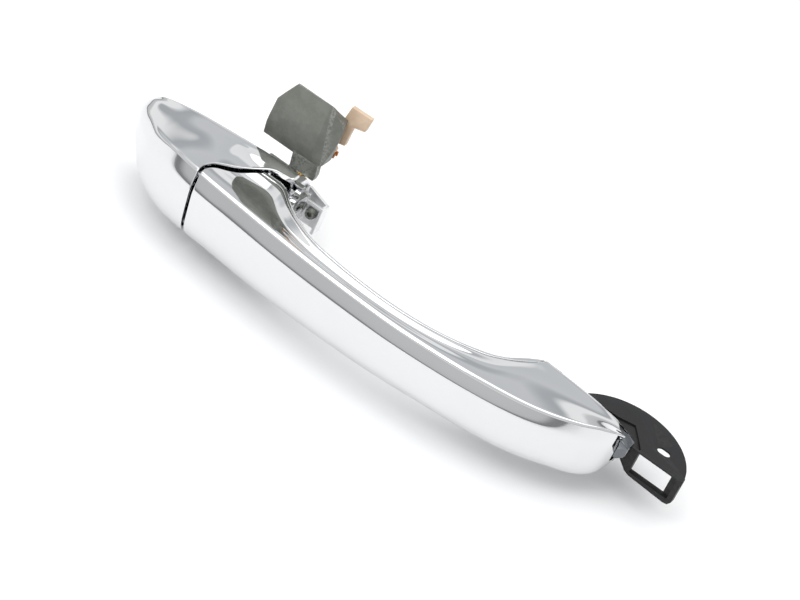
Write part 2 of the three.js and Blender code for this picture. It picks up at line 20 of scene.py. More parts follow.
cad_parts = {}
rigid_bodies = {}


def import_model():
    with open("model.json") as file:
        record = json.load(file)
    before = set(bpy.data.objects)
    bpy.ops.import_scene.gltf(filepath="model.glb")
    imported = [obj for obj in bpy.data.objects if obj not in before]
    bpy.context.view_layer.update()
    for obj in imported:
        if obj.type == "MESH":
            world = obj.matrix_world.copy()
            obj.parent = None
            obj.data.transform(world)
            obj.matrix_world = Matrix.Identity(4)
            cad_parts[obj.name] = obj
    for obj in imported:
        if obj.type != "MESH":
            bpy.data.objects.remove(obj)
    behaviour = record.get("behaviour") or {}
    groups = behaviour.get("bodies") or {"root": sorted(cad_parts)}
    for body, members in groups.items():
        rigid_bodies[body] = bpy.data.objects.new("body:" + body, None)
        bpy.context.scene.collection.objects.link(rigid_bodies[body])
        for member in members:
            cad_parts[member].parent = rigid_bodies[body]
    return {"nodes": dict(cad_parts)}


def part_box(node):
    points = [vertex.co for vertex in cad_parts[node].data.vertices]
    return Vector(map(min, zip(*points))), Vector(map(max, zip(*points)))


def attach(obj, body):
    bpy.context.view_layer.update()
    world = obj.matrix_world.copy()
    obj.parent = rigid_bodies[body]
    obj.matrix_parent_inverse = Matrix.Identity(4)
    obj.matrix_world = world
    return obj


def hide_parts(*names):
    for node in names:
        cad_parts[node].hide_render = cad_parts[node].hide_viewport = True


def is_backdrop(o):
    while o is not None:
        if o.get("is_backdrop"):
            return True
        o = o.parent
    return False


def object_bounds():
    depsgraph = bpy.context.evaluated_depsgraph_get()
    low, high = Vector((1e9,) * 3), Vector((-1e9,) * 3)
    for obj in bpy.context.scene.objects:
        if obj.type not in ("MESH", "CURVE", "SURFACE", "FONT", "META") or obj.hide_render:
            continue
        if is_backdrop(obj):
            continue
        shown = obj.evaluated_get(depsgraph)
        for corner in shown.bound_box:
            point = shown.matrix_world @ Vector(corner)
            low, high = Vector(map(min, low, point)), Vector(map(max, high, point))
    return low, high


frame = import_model()

LOG = logging.getLogger("handle")
MM = 0.001
BASE_X = 106.0
Table = Sequence[tuple[float, float]]
Point = tuple[float, float, float]


class Body(Enum):
    """The bodies that pieces ride on."""

    DOOR = "root"
    STRAP = "strap"
    CRANK = "crank"


# ------------------------------------------------------------------ shader writing
MIX_COLOURS = (6, 7)   # a Mix node's two colour sockets, among those of its other data types
MIX_RESULT = 2
BEHIND_SKIN = (0.0006, 0.0016)   # Y where polish turns satin, in metres


class Wire:
    """A shader socket that can stand in arithmetic.

    Args:
        shader: the shader that new nodes go into.
        socket: the output socket wrapped.
    """

    def __init__(self, shader: "Shader", socket: bpy.types.NodeSocket) -> None:
        """Keeps the socket with its shader."""
        self.shader = shader
        self.socket = socket

    def _with(self, operation: str, first: "Wire | float", second: "Wire | float") -> "Wire":
        """Returns a Math node's result for two values."""
        return self.shader.node("ShaderNodeMath", {"operation": operation}, {0: first, 1: second})

    def __add__(self, other: "Wire | float") -> "Wire":
        """Sum."""
        return self._with("ADD", self, other)

    def __radd__(self, other: float) -> "Wire":
        """Sum, the other way round."""
        return self._with("ADD", other, self)

    def __sub__(self, other: "Wire | float") -> "Wire":
        """Difference."""
        return self._with("SUBTRACT", self, other)

    def __rsub__(self, other: float) -> "Wire":
        """Difference, the other way round."""
        return self._with("SUBTRACT", other, self)

    def __mul__(self, other: "Wire | float") -> "Wire":
        """Product."""
        return self._with("MULTIPLY", self, other)

    def __rmul__(self, other: float) -> "Wire":
        """Product, the other way round."""
        return self._with("MULTIPLY", other, self)

    def ramp(self, low: float, high: float) -> "Wire":
        """Returns 0 at low rising smoothly to 1 at high, held outside them."""
        return self.shader.node(
            "ShaderNodeMapRange", {"interpolation_type": "SMOOTHSTEP"},
            {"Value": self, "From Min": low, "From Max": high, "To Min": 0.0, "To Max": 1.0})


class Shader:
    """A node tree being written, for a material or the world.

    Args:
        tree: the tree, which is emptied first.
    """

    def __init__(self, tree: bpy.types.NodeTree) -> None:
        """Empties the tree."""
        self.tree = tree
        tree.nodes.clear()

    def node(self, kind: str, settings: dict | None = None, inputs: dict | None = None,
             output: int | str = 0) -> Wire:
        """Adds a node.

        Args:
            kind: the node's type.
            settings: its own settings, set before its sockets; "stops" sets a ramp's stops.
            inputs: values or wires for its sockets, by name or number.
            output: the output to hand back.

        Returns:
            The chosen output.
        """
        made = self.tree.nodes.new(kind)
        for key, value in (settings or {}).items():
            if key == "stops":
                self._set_stops(made.color_ramp, value)
            else:
                setattr(made, key, value)
        for key, value in (inputs or {}).items():
            if isinstance(value, Wire):
                self.tree.links.new(value.socket, made.inputs[key])
            else:
                made.inputs[key].default_value = value
        return Wire(self, made.outputs[output]) if made.outputs else Wire(self, None)

    @staticmethod
    def _set_stops(ramp: bpy.types.ColorRamp, stops: Sequence[tuple[float, Sequence[float]]]) -> None:
        """Gives a colour ramp its stops."""
        while len(ramp.elements) < len(stops):
            ramp.elements.new(1.0)
        for element, (place, colour) in zip(ramp.elements, stops):
            element.position = place
            element.color = (*colour, 1.0)

    def noise(self, place: Wire, size: float, detail: float = 2.0, roughness: float = 0.5) -> Wire:
        """Returns noise from 0 to 1 whose blobs are about size millimetres across."""
        return self.node("ShaderNodeTexNoise", {}, {
            "Vector": place, "Scale": 1.0 / (size * MM), "Detail": detail, "Roughness": roughness})

    def blend(self, mask: Wire, low: Sequence[float] | Wire, high: Sequence[float] | Wire) -> Wire:
        """Returns one colour turning into another where the mask rises."""
        ends = [value if isinstance(value, Wire) else (*value, 1.0) for value in (low, high)]
        return self.node("ShaderNodeMix", {"data_type": "RGBA"}, {
            0: mask, MIX_COLOURS[0]: ends[0], MIX_COLOURS[1]: ends[1]}, output=MIX_RESULT)


@dataclass(frozen=True)
class Finish:
    """A surface finish, with its texture's sizes in millimetres.

    Args:
        slot: the record's material slot.
        colour: the main colour.
        patch_colour: the colour of its faint patches.
        worn_colour: the colour where edges are rubbed.
        roughness: the middle roughness.
        swing: how far the roughness varies either way.
        metallic: 1 for bare or plated metal.
        patch: size of the patches.
        grain: size of the surface's grain.
        relief: height of the grain.
        stretch: how much longer than wide its marks are, along X, Y and Z.
        wear: how strongly edges show wear.
        coat: weight of a clear coat.
        gloss: strength of its reflection, 0.5 being usual.
        satin: roughness added behind the door skin, where nothing is polished.
    """

    slot: str
    colour: Point
    patch_colour: Point
    worn_colour: Point
    roughness: float
    swing: float
    metallic: float = 0.0
    patch: float = 12.0
    grain: float = 0.4
    relief: float = 0.01
    stretch: Point = (1.0, 1.0, 1.0)
    wear: float = 0.3
    coat: float = 0.0
    gloss: float = 0.5
    satin: float = 0.0

    def material(self) -> bpy.types.Material:
        """Returns the finish's material, made once."""
        found = bpy.data.materials.get(f"finish_{self.slot}")
        if found:
            return found
        made = bpy.data.materials.new(f"finish_{self.slot}")
        made.use_nodes = True
        self._write(Shader(made.node_tree))
        return made

    def _write(self, shader: Shader) -> None:
        """Writes the finish's nodes."""
        place = shader.node("ShaderNodeTexCoord", output="Object")
        along = shader.node("ShaderNodeMapping", {}, {
            "Vector": place, "Scale": tuple(1.0 / length for length in self.stretch)})
        patches = shader.noise(place, self.patch, 4.0, 0.6)
        grain = shader.noise(along, self.grain, 3.0, 0.6)
        marks = shader.noise(along, self.grain * 4.0, 2.0)
        specks = shader.noise(place, self.grain * 2.3, 1.0).ramp(0.66, 0.74)
        edge = shader.node("ShaderNodeNewGeometry", output="Pointiness").ramp(0.52, 0.6)
        worn = edge * shader.noise(place, self.patch * 0.2, 3.0).ramp(0.35, 0.6) * self.wear
        colour = shader.blend(patches.ramp(0.35, 0.7), self.colour, self.patch_colour)
        colour = shader.blend(specks * 0.25, colour, self.patch_colour)
        colour = shader.blend(worn, colour, self.worn_colour)
        rough = self.roughness + (patches - 0.5) * (2.0 * self.swing) + (marks - 0.5) * self.swing
        rough = rough - worn * (0.3 * self.roughness)
        if self.satin:
            behind = shader.node("ShaderNodeSeparateXYZ", {}, {0: place}, output="Y").ramp(*BEHIND_SKIN)
            rough = rough + behind * self.satin
            colour = shader.blend(behind, colour, self.worn_colour)
        height = grain * 0.7 + marks * 0.5
        normal = shader.node("ShaderNodeBump", {}, {
            "Strength": 1.0, "Distance": self.relief * MM, "Height": height})
        surface = shader.node("ShaderNodeBsdfPrincipled", {}, {
            "Base Color": colour, "Roughness": rough, "Metallic": self.metallic,
            "Coat Weight": self.coat, "Specular IOR Level": self.gloss, "Normal": normal})
        shader.node("ShaderNodeOutputMaterial", {}, {"Surface": surface})


class Finishes:
    """Every finish on the handle."""

    CHROME = Finish("chrome", (0.73, 0.735, 0.74), (0.715, 0.722, 0.73), (0.82, 0.825, 0.83),
                    roughness=0.045, swing=0.02, metallic=1.0, patch=28.0, grain=3.0, relief=0.0012, wear=0.1,
                    satin=0.36)
    SMOKE = Finish("dark_chrome", (0.17, 0.18, 0.19), (0.14, 0.15, 0.16), (0.45, 0.46, 0.47),
                   roughness=0.13, swing=0.04, metallic=1.0, patch=8.0, grain=1.2, relief=0.002)
    NYLON = Finish("black_nylon", (0.012, 0.012, 0.013), (0.015, 0.015, 0.016), (0.035, 0.035, 0.035),
                   roughness=0.5, swing=0.03, patch=9.0, grain=0.35, relief=0.008, wear=0.3, gloss=0.28)
    CORE = Finish("core_nylon", (0.026, 0.026, 0.028), (0.036, 0.036, 0.038), (0.09, 0.09, 0.09),
                  roughness=0.62, swing=0.08, patch=7.0, grain=0.3, relief=0.03, stretch=(6.0, 1.0, 1.0))
    ZINC = Finish("zinc", (0.17, 0.176, 0.154), (0.21, 0.216, 0.192), (0.38, 0.39, 0.36),
                  roughness=0.5, swing=0.09, metallic=0.55, patch=5.0, grain=0.45, relief=0.05, wear=0.6)
    BEIGE = Finish("beige_acetal", (0.66, 0.5, 0.36), (0.6, 0.44, 0.31), (0.76, 0.64, 0.5),
                   roughness=0.42, swing=0.06, patch=6.0, grain=0.3, relief=0.012)
    BUSH = Finish("bush_acetal", (0.78, 0.77, 0.72), (0.72, 0.7, 0.64), (0.82, 0.81, 0.78),
                  roughness=0.4, swing=0.06, patch=3.0, grain=0.2, relief=0.01)
    STEEL = Finish("steel", (0.5, 0.51, 0.52), (0.42, 0.43, 0.45), (0.66, 0.66, 0.66),
                   roughness=0.28, swing=0.08, metallic=1.0, patch=3.0, grain=0.12, relief=0.006,
                   stretch=(1.0, 5.0, 5.0))
    YELLOW = Finish("yellow_steel", (0.62, 0.4, 0.12), (0.5, 0.36, 0.16), (0.7, 0.6, 0.4),
                    roughness=0.27, swing=0.07, metallic=1.0, patch=2.5, grain=0.15, relief=0.004)
    COPPER = Finish("copper", (0.52, 0.22, 0.08), (0.4, 0.16, 0.06), (0.7, 0.4, 0.22),
                    roughness=0.3, swing=0.08, metallic=1.0, patch=2.0, grain=0.12, relief=0.006)
    BRASS = Finish("brass", (0.6, 0.42, 0.14), (0.5, 0.34, 0.1), (0.74, 0.6, 0.32),
                   roughness=0.3, swing=0.07, metallic=1.0, patch=2.5, grain=0.12, relief=0.005)
    RUBBER = Finish("rubber", (0.017, 0.017, 0.018), (0.026, 0.026, 0.027), (0.06, 0.06, 0.06),
                    roughness=0.78, swing=0.08, patch=6.0, grain=0.5, relief=0.05)


# ------------------------------------------------------------------ mesh writing
DOUBLE = 1e-7          # metres between points that count as one
DOUBLE_PACKED = 2e-6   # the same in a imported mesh
NO_LENGTH = 1e-8
FLAT_DEGREES = 0.6     # triangles flatter than this become one face
EDGE_SEGMENTS = 3


def to_frame(points: np.ndarray) -> np.ndarray:
    """Returns design points, in millimetres, as packed-frame points in metres."""
    return (np.asarray(points, float) + (BASE_X, 0.0, 0.0)) * MM


def mesh_from(name: str, points: np.ndarray, faces: Sequence[Sequence[int]]) -> bpy.types.Mesh:
    """Builds a closed mesh, with doubles merged and faces turned outwards.

    Args:
        name: the mesh's name.
        points: its points, in design millimetres.
        faces: its faces as rows of point numbers.

    Returns:
        The mesh.
    """
    mesh = bpy.data.meshes.new(name)
    mesh.from_pydata(to_frame(points).tolist(), [], [list(face) for face in faces])
    form = bmesh.new()
    form.from_mesh(mesh)
    bmesh.ops.remove_doubles(form, verts=form.verts, dist=DOUBLE)
    bmesh.ops.dissolve_degenerate(form, edges=form.edges, dist=NO_LENGTH)
    if form.calc_volume(signed=True) < 0:
        bmesh.ops.reverse_faces(form, faces=form.faces)
    form.to_mesh(mesh)
    form.free()
    return mesh


def smooth(mesh: bpy.types.Mesh, degrees: float = 40.0) -> bpy.types.Mesh:
    """Shades a mesh smooth, with edges sharper than the angle kept sharp."""
    mesh.polygons.foreach_set("use_smooth", [True] * len(mesh.polygons))
    mesh.set_sharp_from_angle(angle=math.radians(degrees))
    mesh.update()
    return mesh


def evaluated(holder: bpy.types.Object, name: str) -> bpy.types.Mesh:
    """Returns a plain mesh of an object with its modifiers, and removes the object."""
    graph = bpy.context.evaluated_depsgraph_get()
    mesh = bpy.data.meshes.new_from_object(holder.evaluated_get(graph))
    mesh.name = name
    bpy.data.objects.remove(holder)
    return mesh


def holder_of(mesh: bpy.types.Mesh) -> bpy.types.Object:
    """Returns a passing object that holds a mesh while modifiers work on it."""
    holder = bpy.data.objects.new("workpiece", mesh)
    bpy.context.scene.collection.objects.link(holder)
    return holder


def carve(mesh: bpy.types.Mesh, *tools: bpy.types.Mesh) -> bpy.types.Mesh:
    """Returns a mesh with tool meshes cut out of it."""
    holder = holder_of(mesh)
    cutters = [holder_of(tool) for tool in tools]
    for cutter in cutters:
        modifier = holder.modifiers.new("cut", "BOOLEAN")
        modifier.solver = "MANIFOLD"
        modifier.operation = "DIFFERENCE"
        modifier.object = cutter
    made = evaluated(holder, mesh.name)
    for cutter in cutters:
        bpy.data.objects.remove(cutter)
    return made


def rounded(mesh: bpy.types.Mesh, edge: float, degrees: float) -> bpy.types.Mesh:
    """Returns a mesh with its sharp edges rounded.

    Args:
        mesh: the mesh to round.
        edge: radius of the rounding, in millimetres.
        degrees: edges flatter than this are left alone.

    Returns:
        A new plain mesh.
    """
    holder = holder_of(mesh)
    bevel = holder.modifiers.new("edges", "BEVEL")
    bevel.width = edge * MM
    bevel.segments = EDGE_SEGMENTS
    bevel.limit_method = "ANGLE"
    bevel.angle_limit = math.radians(degrees)
    bevel.miter_outer = "MITER_ARC"
    bevel.use_clamp_overlap = True
    return smooth(evaluated(holder, mesh.name), degrees + 10.0)


def copy_of(node: str) -> bpy.types.Mesh:
    """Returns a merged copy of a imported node's mesh, with its flats made whole faces."""
    mesh = frame["nodes"][node].data.copy()
    mesh.name = f"{node}_form"
    form = bmesh.new()
    form.from_mesh(mesh)
    bmesh.ops.remove_doubles(form, verts=form.verts, dist=DOUBLE_PACKED)
    bmesh.ops.dissolve_limit(
        form, angle_limit=math.radians(FLAT_DEGREES), verts=form.verts, edges=form.edges)
    form.to_mesh(mesh)
    form.free()
    return mesh


def block(x0: float, x1: float, y0: float, y1: float, z0: float, z1: float) -> bpy.types.Mesh:
    """Returns a box between design coordinates."""
    corners = [(x, y, z) for x in (x0, x1) for y in (y0, y1) for z in (z0, z1)]
    faces = [(0, 1, 3, 2), (4, 6, 7, 5), (0, 4, 5, 1), (2, 3, 7, 6), (0, 2, 6, 4), (1, 5, 7, 3)]
    return mesh_from("block", np.array(corners), faces)


def place(mesh: bpy.types.Mesh, name: str, body: Body, finish: Finish, node: str) -> None:
    """Puts a finished mesh into the scene as a piece.

    Args:
        mesh: the piece's mesh.
        name: the piece's name.
        body: the body it rides on.
        finish: its finish.
        node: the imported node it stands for.
    """
    piece = bpy.data.objects.new(name, mesh)
    bpy.context.scene.collection.objects.link(piece)
    mesh.materials.clear()
    mesh.materials.append(finish.material())
    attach(piece, body.value)
    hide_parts(node)
    LOG.info("%s: %d faces on %s", name, len(mesh.polygons), body.value)


def dress(node: str, finish: Finish) -> None:
    """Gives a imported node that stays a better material."""
    target = frame["nodes"][node]
    target.data.materials.clear()
    target.data.materials.append(finish.material())
    LOG.info("%s: dressed as %s", node, finish.slot)


@dataclass(frozen=True)
class Casting:
    """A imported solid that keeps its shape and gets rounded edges.

    Args:
        node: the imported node.
        name: the piece's name.
        finish: its finish.
        edge: radius of its edges.
        degrees: edges flatter than this stay as they are.
    """

    node: str
    name: str
    finish: Finish
    edge: float
    degrees: float = 32.0

    def put(self, body: Body) -> None:
        """Makes the piece and places it on a body."""
        place(rounded(copy_of(self.node), self.edge, self.degrees), self.name, body, self.finish, self.node)


# ------------------------------------------------------------------ geometry nodes
WIRE_SIDES = 14
THREAD_STEPS = 26   # along each turn
THREAD_SIDES = 5
KNURL_SIDES = 4


class Growth:
    """A Geometry Nodes tree with named inputs, used to grow plain meshes.

    Args:
        name: the tree's name.
        inputs: the names and socket types of its inputs.
    """

    def __init__(self, name: str, inputs: dict[str, str]) -> None:
        """Makes the tree and its inputs."""
        self.tree = bpy.data.node_groups.new(name, "GeometryNodeTree")
        face = self.tree.interface
        face.new_socket("Geometry", in_out="INPUT", socket_type="NodeSocketGeometry")
        self.ids = {key: face.new_socket(key, in_out="INPUT", socket_type=kind).identifier
                    for key, kind in inputs.items()}
        face.new_socket("Geometry", in_out="OUTPUT", socket_type="NodeSocketGeometry")
        self.entry = self.tree.nodes.new("NodeGroupInput")

    def input(self, name: str) -> bpy.types.NodeSocket:
        """Returns one of the tree's inputs."""
        return self.entry.outputs[name]

    def node(self, kind: str, settings: dict | None = None, inputs: dict | None = None) -> bpy.types.Node:
        """Adds a node, its settings first and its sockets' values or links after."""
        made = self.tree.nodes.new(kind)
        for key, value in (settings or {}).items():
            setattr(made, key, value)
        for key, value in (inputs or {}).items():
            if isinstance(value, bpy.types.NodeSocket):
                self.tree.links.new(value, made.inputs[key])
            else:
                made.inputs[key].default_value = value
        return made

    def with_base(self, geometry: bpy.types.NodeSocket) -> bpy.types.NodeSocket:
        """Returns geometry joined with the mesh handed to the tree."""
        both = self.node("GeometryNodeJoinGeometry")
        for part in (geometry, self.input("Geometry")):
            self.tree.links.new(part, both.inputs[0])
        return both.outputs[0]

    def close(self, geometry: bpy.types.NodeSocket) -> "Growth":
        """Ends the tree in Realize Instances and Set Material."""
        real = self.node("GeometryNodeRealizeInstances", {}, {"Geometry": geometry})
        coated = self.node("GeometryNodeSetMaterial", {}, {
            "Geometry": real.outputs[0], "Material": self.input("Finish")})
        self.node("NodeGroupOutput", {}, {0: coated.outputs[0]})
        return self

    def grow(self, name: str, base: bpy.types.Mesh, values: dict) -> bpy.types.Mesh:
        """Runs the tree on a mesh.

        Args:
            name: the new mesh's name.
            base: the mesh handed to the tree.
            values: its inputs by name.

        Returns:
            The plain mesh that comes out.
        """
        holder = holder_of(base)
        modifier = holder.modifiers.new("growth", "NODES")
        modifier.node_group = self.tree
        for key, value in values.items():
            modifier[self.ids[key]] = value
        return evaluated(holder, name)


def sweep_tree() -> Growth:
    """Returns a tree that runs a round wire along a polyline."""
    tree = Growth("wire_along_path", {
        "Radius": "NodeSocketFloat", "Step": "NodeSocketFloat", "Finish": "NodeSocketMaterial"})
    path = tree.node("GeometryNodeMeshToCurve", {}, {"Mesh": tree.input("Geometry")})
    even = tree.node("GeometryNodeResampleCurve", {"mode": "LENGTH"}, {
        "Curve": path.outputs[0], "Length": tree.input("Step")})
    ring = tree.node("GeometryNodeCurvePrimitiveCircle", {"mode": "RADIUS"}, {
        "Resolution": WIRE_SIDES, "Radius": tree.input("Radius")})
    wire = tree.node("GeometryNodeCurveToMesh", {}, {
        "Curve": even.outputs[0], "Profile Curve": ring.outputs[0], "Fill Caps": True})
    return tree.close(wire.outputs[0])


def thread_tree() -> Growth:
    """Returns a tree that winds a screw thread round Z from its lower end."""
    tree = Growth("screw_thread", {
        "Radius": "NodeSocketFloat", "Height": "NodeSocketFloat", "Turns": "NodeSocketFloat",
        "Ridge": "NodeSocketFloat", "Finish": "NodeSocketMaterial"})
    helix = tree.node("GeometryNodeCurveSpiral", {}, {
        "Resolution": THREAD_STEPS, "Rotations": tree.input("Turns"), "Start Radius": tree.input("Radius"),
        "End Radius": tree.input("Radius"), "Height": tree.input("Height")})
    ridge = tree.node("GeometryNodeCurvePrimitiveCircle", {"mode": "RADIUS"}, {
        "Resolution": THREAD_SIDES, "Radius": tree.input("Ridge")})
    wound = tree.node("GeometryNodeCurveToMesh", {}, {
        "Curve": helix.outputs[0], "Profile Curve": ridge.outputs[0], "Fill Caps": True})
    return tree.close(tree.with_base(wound.outputs[0]))


def knurl_tree() -> Growth:
    """Returns a tree that sets straight ridges round Z."""
    tree = Growth("knurl", {
        "Radius": "NodeSocketFloat", "Height": "NodeSocketFloat", "Count": "NodeSocketInt",
        "Ridge": "NodeSocketFloat", "Finish": "NodeSocketMaterial"})
    ring = tree.node("GeometryNodeMeshCircle", {}, {
        "Vertices": tree.input("Count"), "Radius": tree.input("Radius")})
    ridge = tree.node("GeometryNodeMeshCylinder", {}, {
        "Vertices": KNURL_SIDES, "Radius": tree.input("Ridge"), "Depth": tree.input("Height")})
    around = tree.node("GeometryNodeInstanceOnPoints", {}, {
        "Points": ring.outputs[0], "Instance": ridge.outputs[0]})
    return tree.close(tree.with_base(around.outputs[0]))


# ------------------------------------------------------------------ turned pieces
SCREW_SIDES = 36
BARE_END = 1.0   # length without thread at either end of a screw


def turned(name: str, profile: Table, sides: int = 48) -> bpy.types.Mesh:
    """Returns a piece turned round Z, in millimetres round the origin.

    Args:
        name: the mesh's name.
        profile: rows of radius and height, from the axis back to the axis.
        sides: steps round the axis.

    Returns:
        The mesh, in metres round the origin.
    """
    rows = np.array(profile, float)
    turn = np.linspace(0.0, 2.0 * math.pi, sides, endpoint=False)
    points = [(r * math.cos(a), r * math.sin(a), h) for r, h in rows for a in turn]
    faces = [(i * sides + k, i * sides + (k + 1) % sides, (i + 1) * sides + (k + 1) % sides,
              (i + 1) * sides + k) for i in range(len(rows) - 1) for k in range(sides)]
    mesh = mesh_from(name, np.array(points) - (BASE_X, 0.0, 0.0), faces)
    return smooth(mesh, 30.0)


def stood(mesh: bpy.types.Mesh, place_at: Point, axis: str) -> bpy.types.Mesh:
    """Turns a piece made round Z to run along an axis, and moves it to a design point."""
    turns = {"Z": Matrix.Identity(4), "Y": Matrix.Rotation(-math.pi / 2, 4, "X"),
             "-Y": Matrix.Rotation(math.pi / 2, 4, "X"), "X": Matrix.Rotation(math.pi / 2, 4, "Y")}
    mesh.transform(turns[axis])
    mesh.transform(Matrix.Translation(Vector(to_frame(np.array(place_at)))))
    return mesh


@dataclass(frozen=True)
class Screw:
    """A screw with a thread and a driver recess, standing on its tip and growing towards its head.

    Args:
        length: from tip to the top of the head.
        shank: thread's outer radius.
        head: head's radius.
        head_height: height of the head.
        pitch: thread pitch.
        recess: radius of the driver recess.
        flange: whether the head has a wide flange below it.
    """

    length: float
    shank: float
    head: float
    head_height: float
    pitch: float
    recess: float
    flange: bool = False

    def build(self, name: str, threads: Growth) -> bpy.types.Mesh:
        """Returns the screw, in metres round the origin."""
        under = self.length - self.head_height
        crown = self.head * (0.72 if self.flange else 0.86)
        seat = [(self.head, under), (self.head, under + 0.25 * self.head_height)] if self.flange else [
            (self.head * 0.94, under), (self.head, under + 0.12 * self.head_height),
            (self.head, under + 0.5 * self.head_height)]
        floor = self.length - 0.55 * self.head_height
        core = 0.84 * self.shank
        profile = [(0, 0), (0.45 * self.shank, 0), (core, 0.9), (core, under), *seat,
                   (crown, under + 0.4 * self.head_height if self.flange else self.length - 0.12),
                   (crown * 0.94, self.length), (self.recess, self.length),
                   (self.recess * 0.9, floor), (0, floor - 0.25)]
        base = turned(name, profile, SCREW_SIDES)
        ridge = 0.2 * self.shank
        threaded = under - 2.0 * BARE_END
        base.transform(Matrix.Translation((0.0, 0.0, -BARE_END * MM)))
        wound = threads.grow(name, base, {
            "Radius": (self.shank - ridge) * MM, "Height": threaded * MM,
            "Turns": threaded / self.pitch, "Ridge": ridge * MM, "Finish": Finishes.STEEL.material()})
        wound.transform(Matrix.Translation((0.0, 0.0, BARE_END * MM)))
        return smooth(wound, 35.0)


# ------------------------------------------------------------------ the plated form
CROWDING = 0.6      # how much closer together rows lie near the ends
EDGE_STEPS = np.array([0.0, 0.08, 0.2, 0.38, 0.64, 1.0])   # across a rolled edge, as shares of its radius
FACE_STEPS = 24     # from the middle of the front to the crease
CREASE_STEPS = 8
TOP_STEPS = 40
CORNER_STEPS = 15   # round the back's edge
BACK_STEPS = 14     # down the back to its middle
FAR = 9.0           # a distance from any edge that is past all rolling
MOST_LEAN = 5.0     # how much a slanting edge may stretch its rolled rows
CORE_Y = -14.0      # a depth inside both cap and strap, which outward normals point away from


def curve_through(table: Table) -> Callable[[np.ndarray], np.ndarray]:
    """Returns a smooth curve through a table's rows, held level past its ends."""
    xs, values = np.array(table, float).T
    last = len(xs) - 1
    before = np.maximum(np.arange(last + 1) - 1, 0)
    after = np.minimum(np.arange(last + 1) + 1, last)
    slope = (values[after] - values[before]) / (xs[after] - xs[before])

    def at(x: np.ndarray) -> np.ndarray:
        """Returns the curve's values."""
        held = np.clip(np.asarray(x, float), xs[0], xs[-1])
        i = np.clip(np.searchsorted(xs, held, side="right") - 1, 0, last - 1)
        width = xs[i + 1] - xs[i]
        t = (held - xs[i]) / width
        rise = 3 * t ** 2 - 2 * t ** 3
        lean = slope[i] * t * (1 - t) ** 2 - slope[i + 1] * t * t * (1 - t)
        return values[i] * (1 - rise) + values[i + 1] * rise + width * lean

    return at


def spread(count: int) -> np.ndarray:
    """Returns steps from 0 to 1, closer together near both ends."""
    t = np.linspace(0.0, 1.0, count)
    return t - CROWDING * np.sin(2 * math.pi * t) / (2 * math.pi)


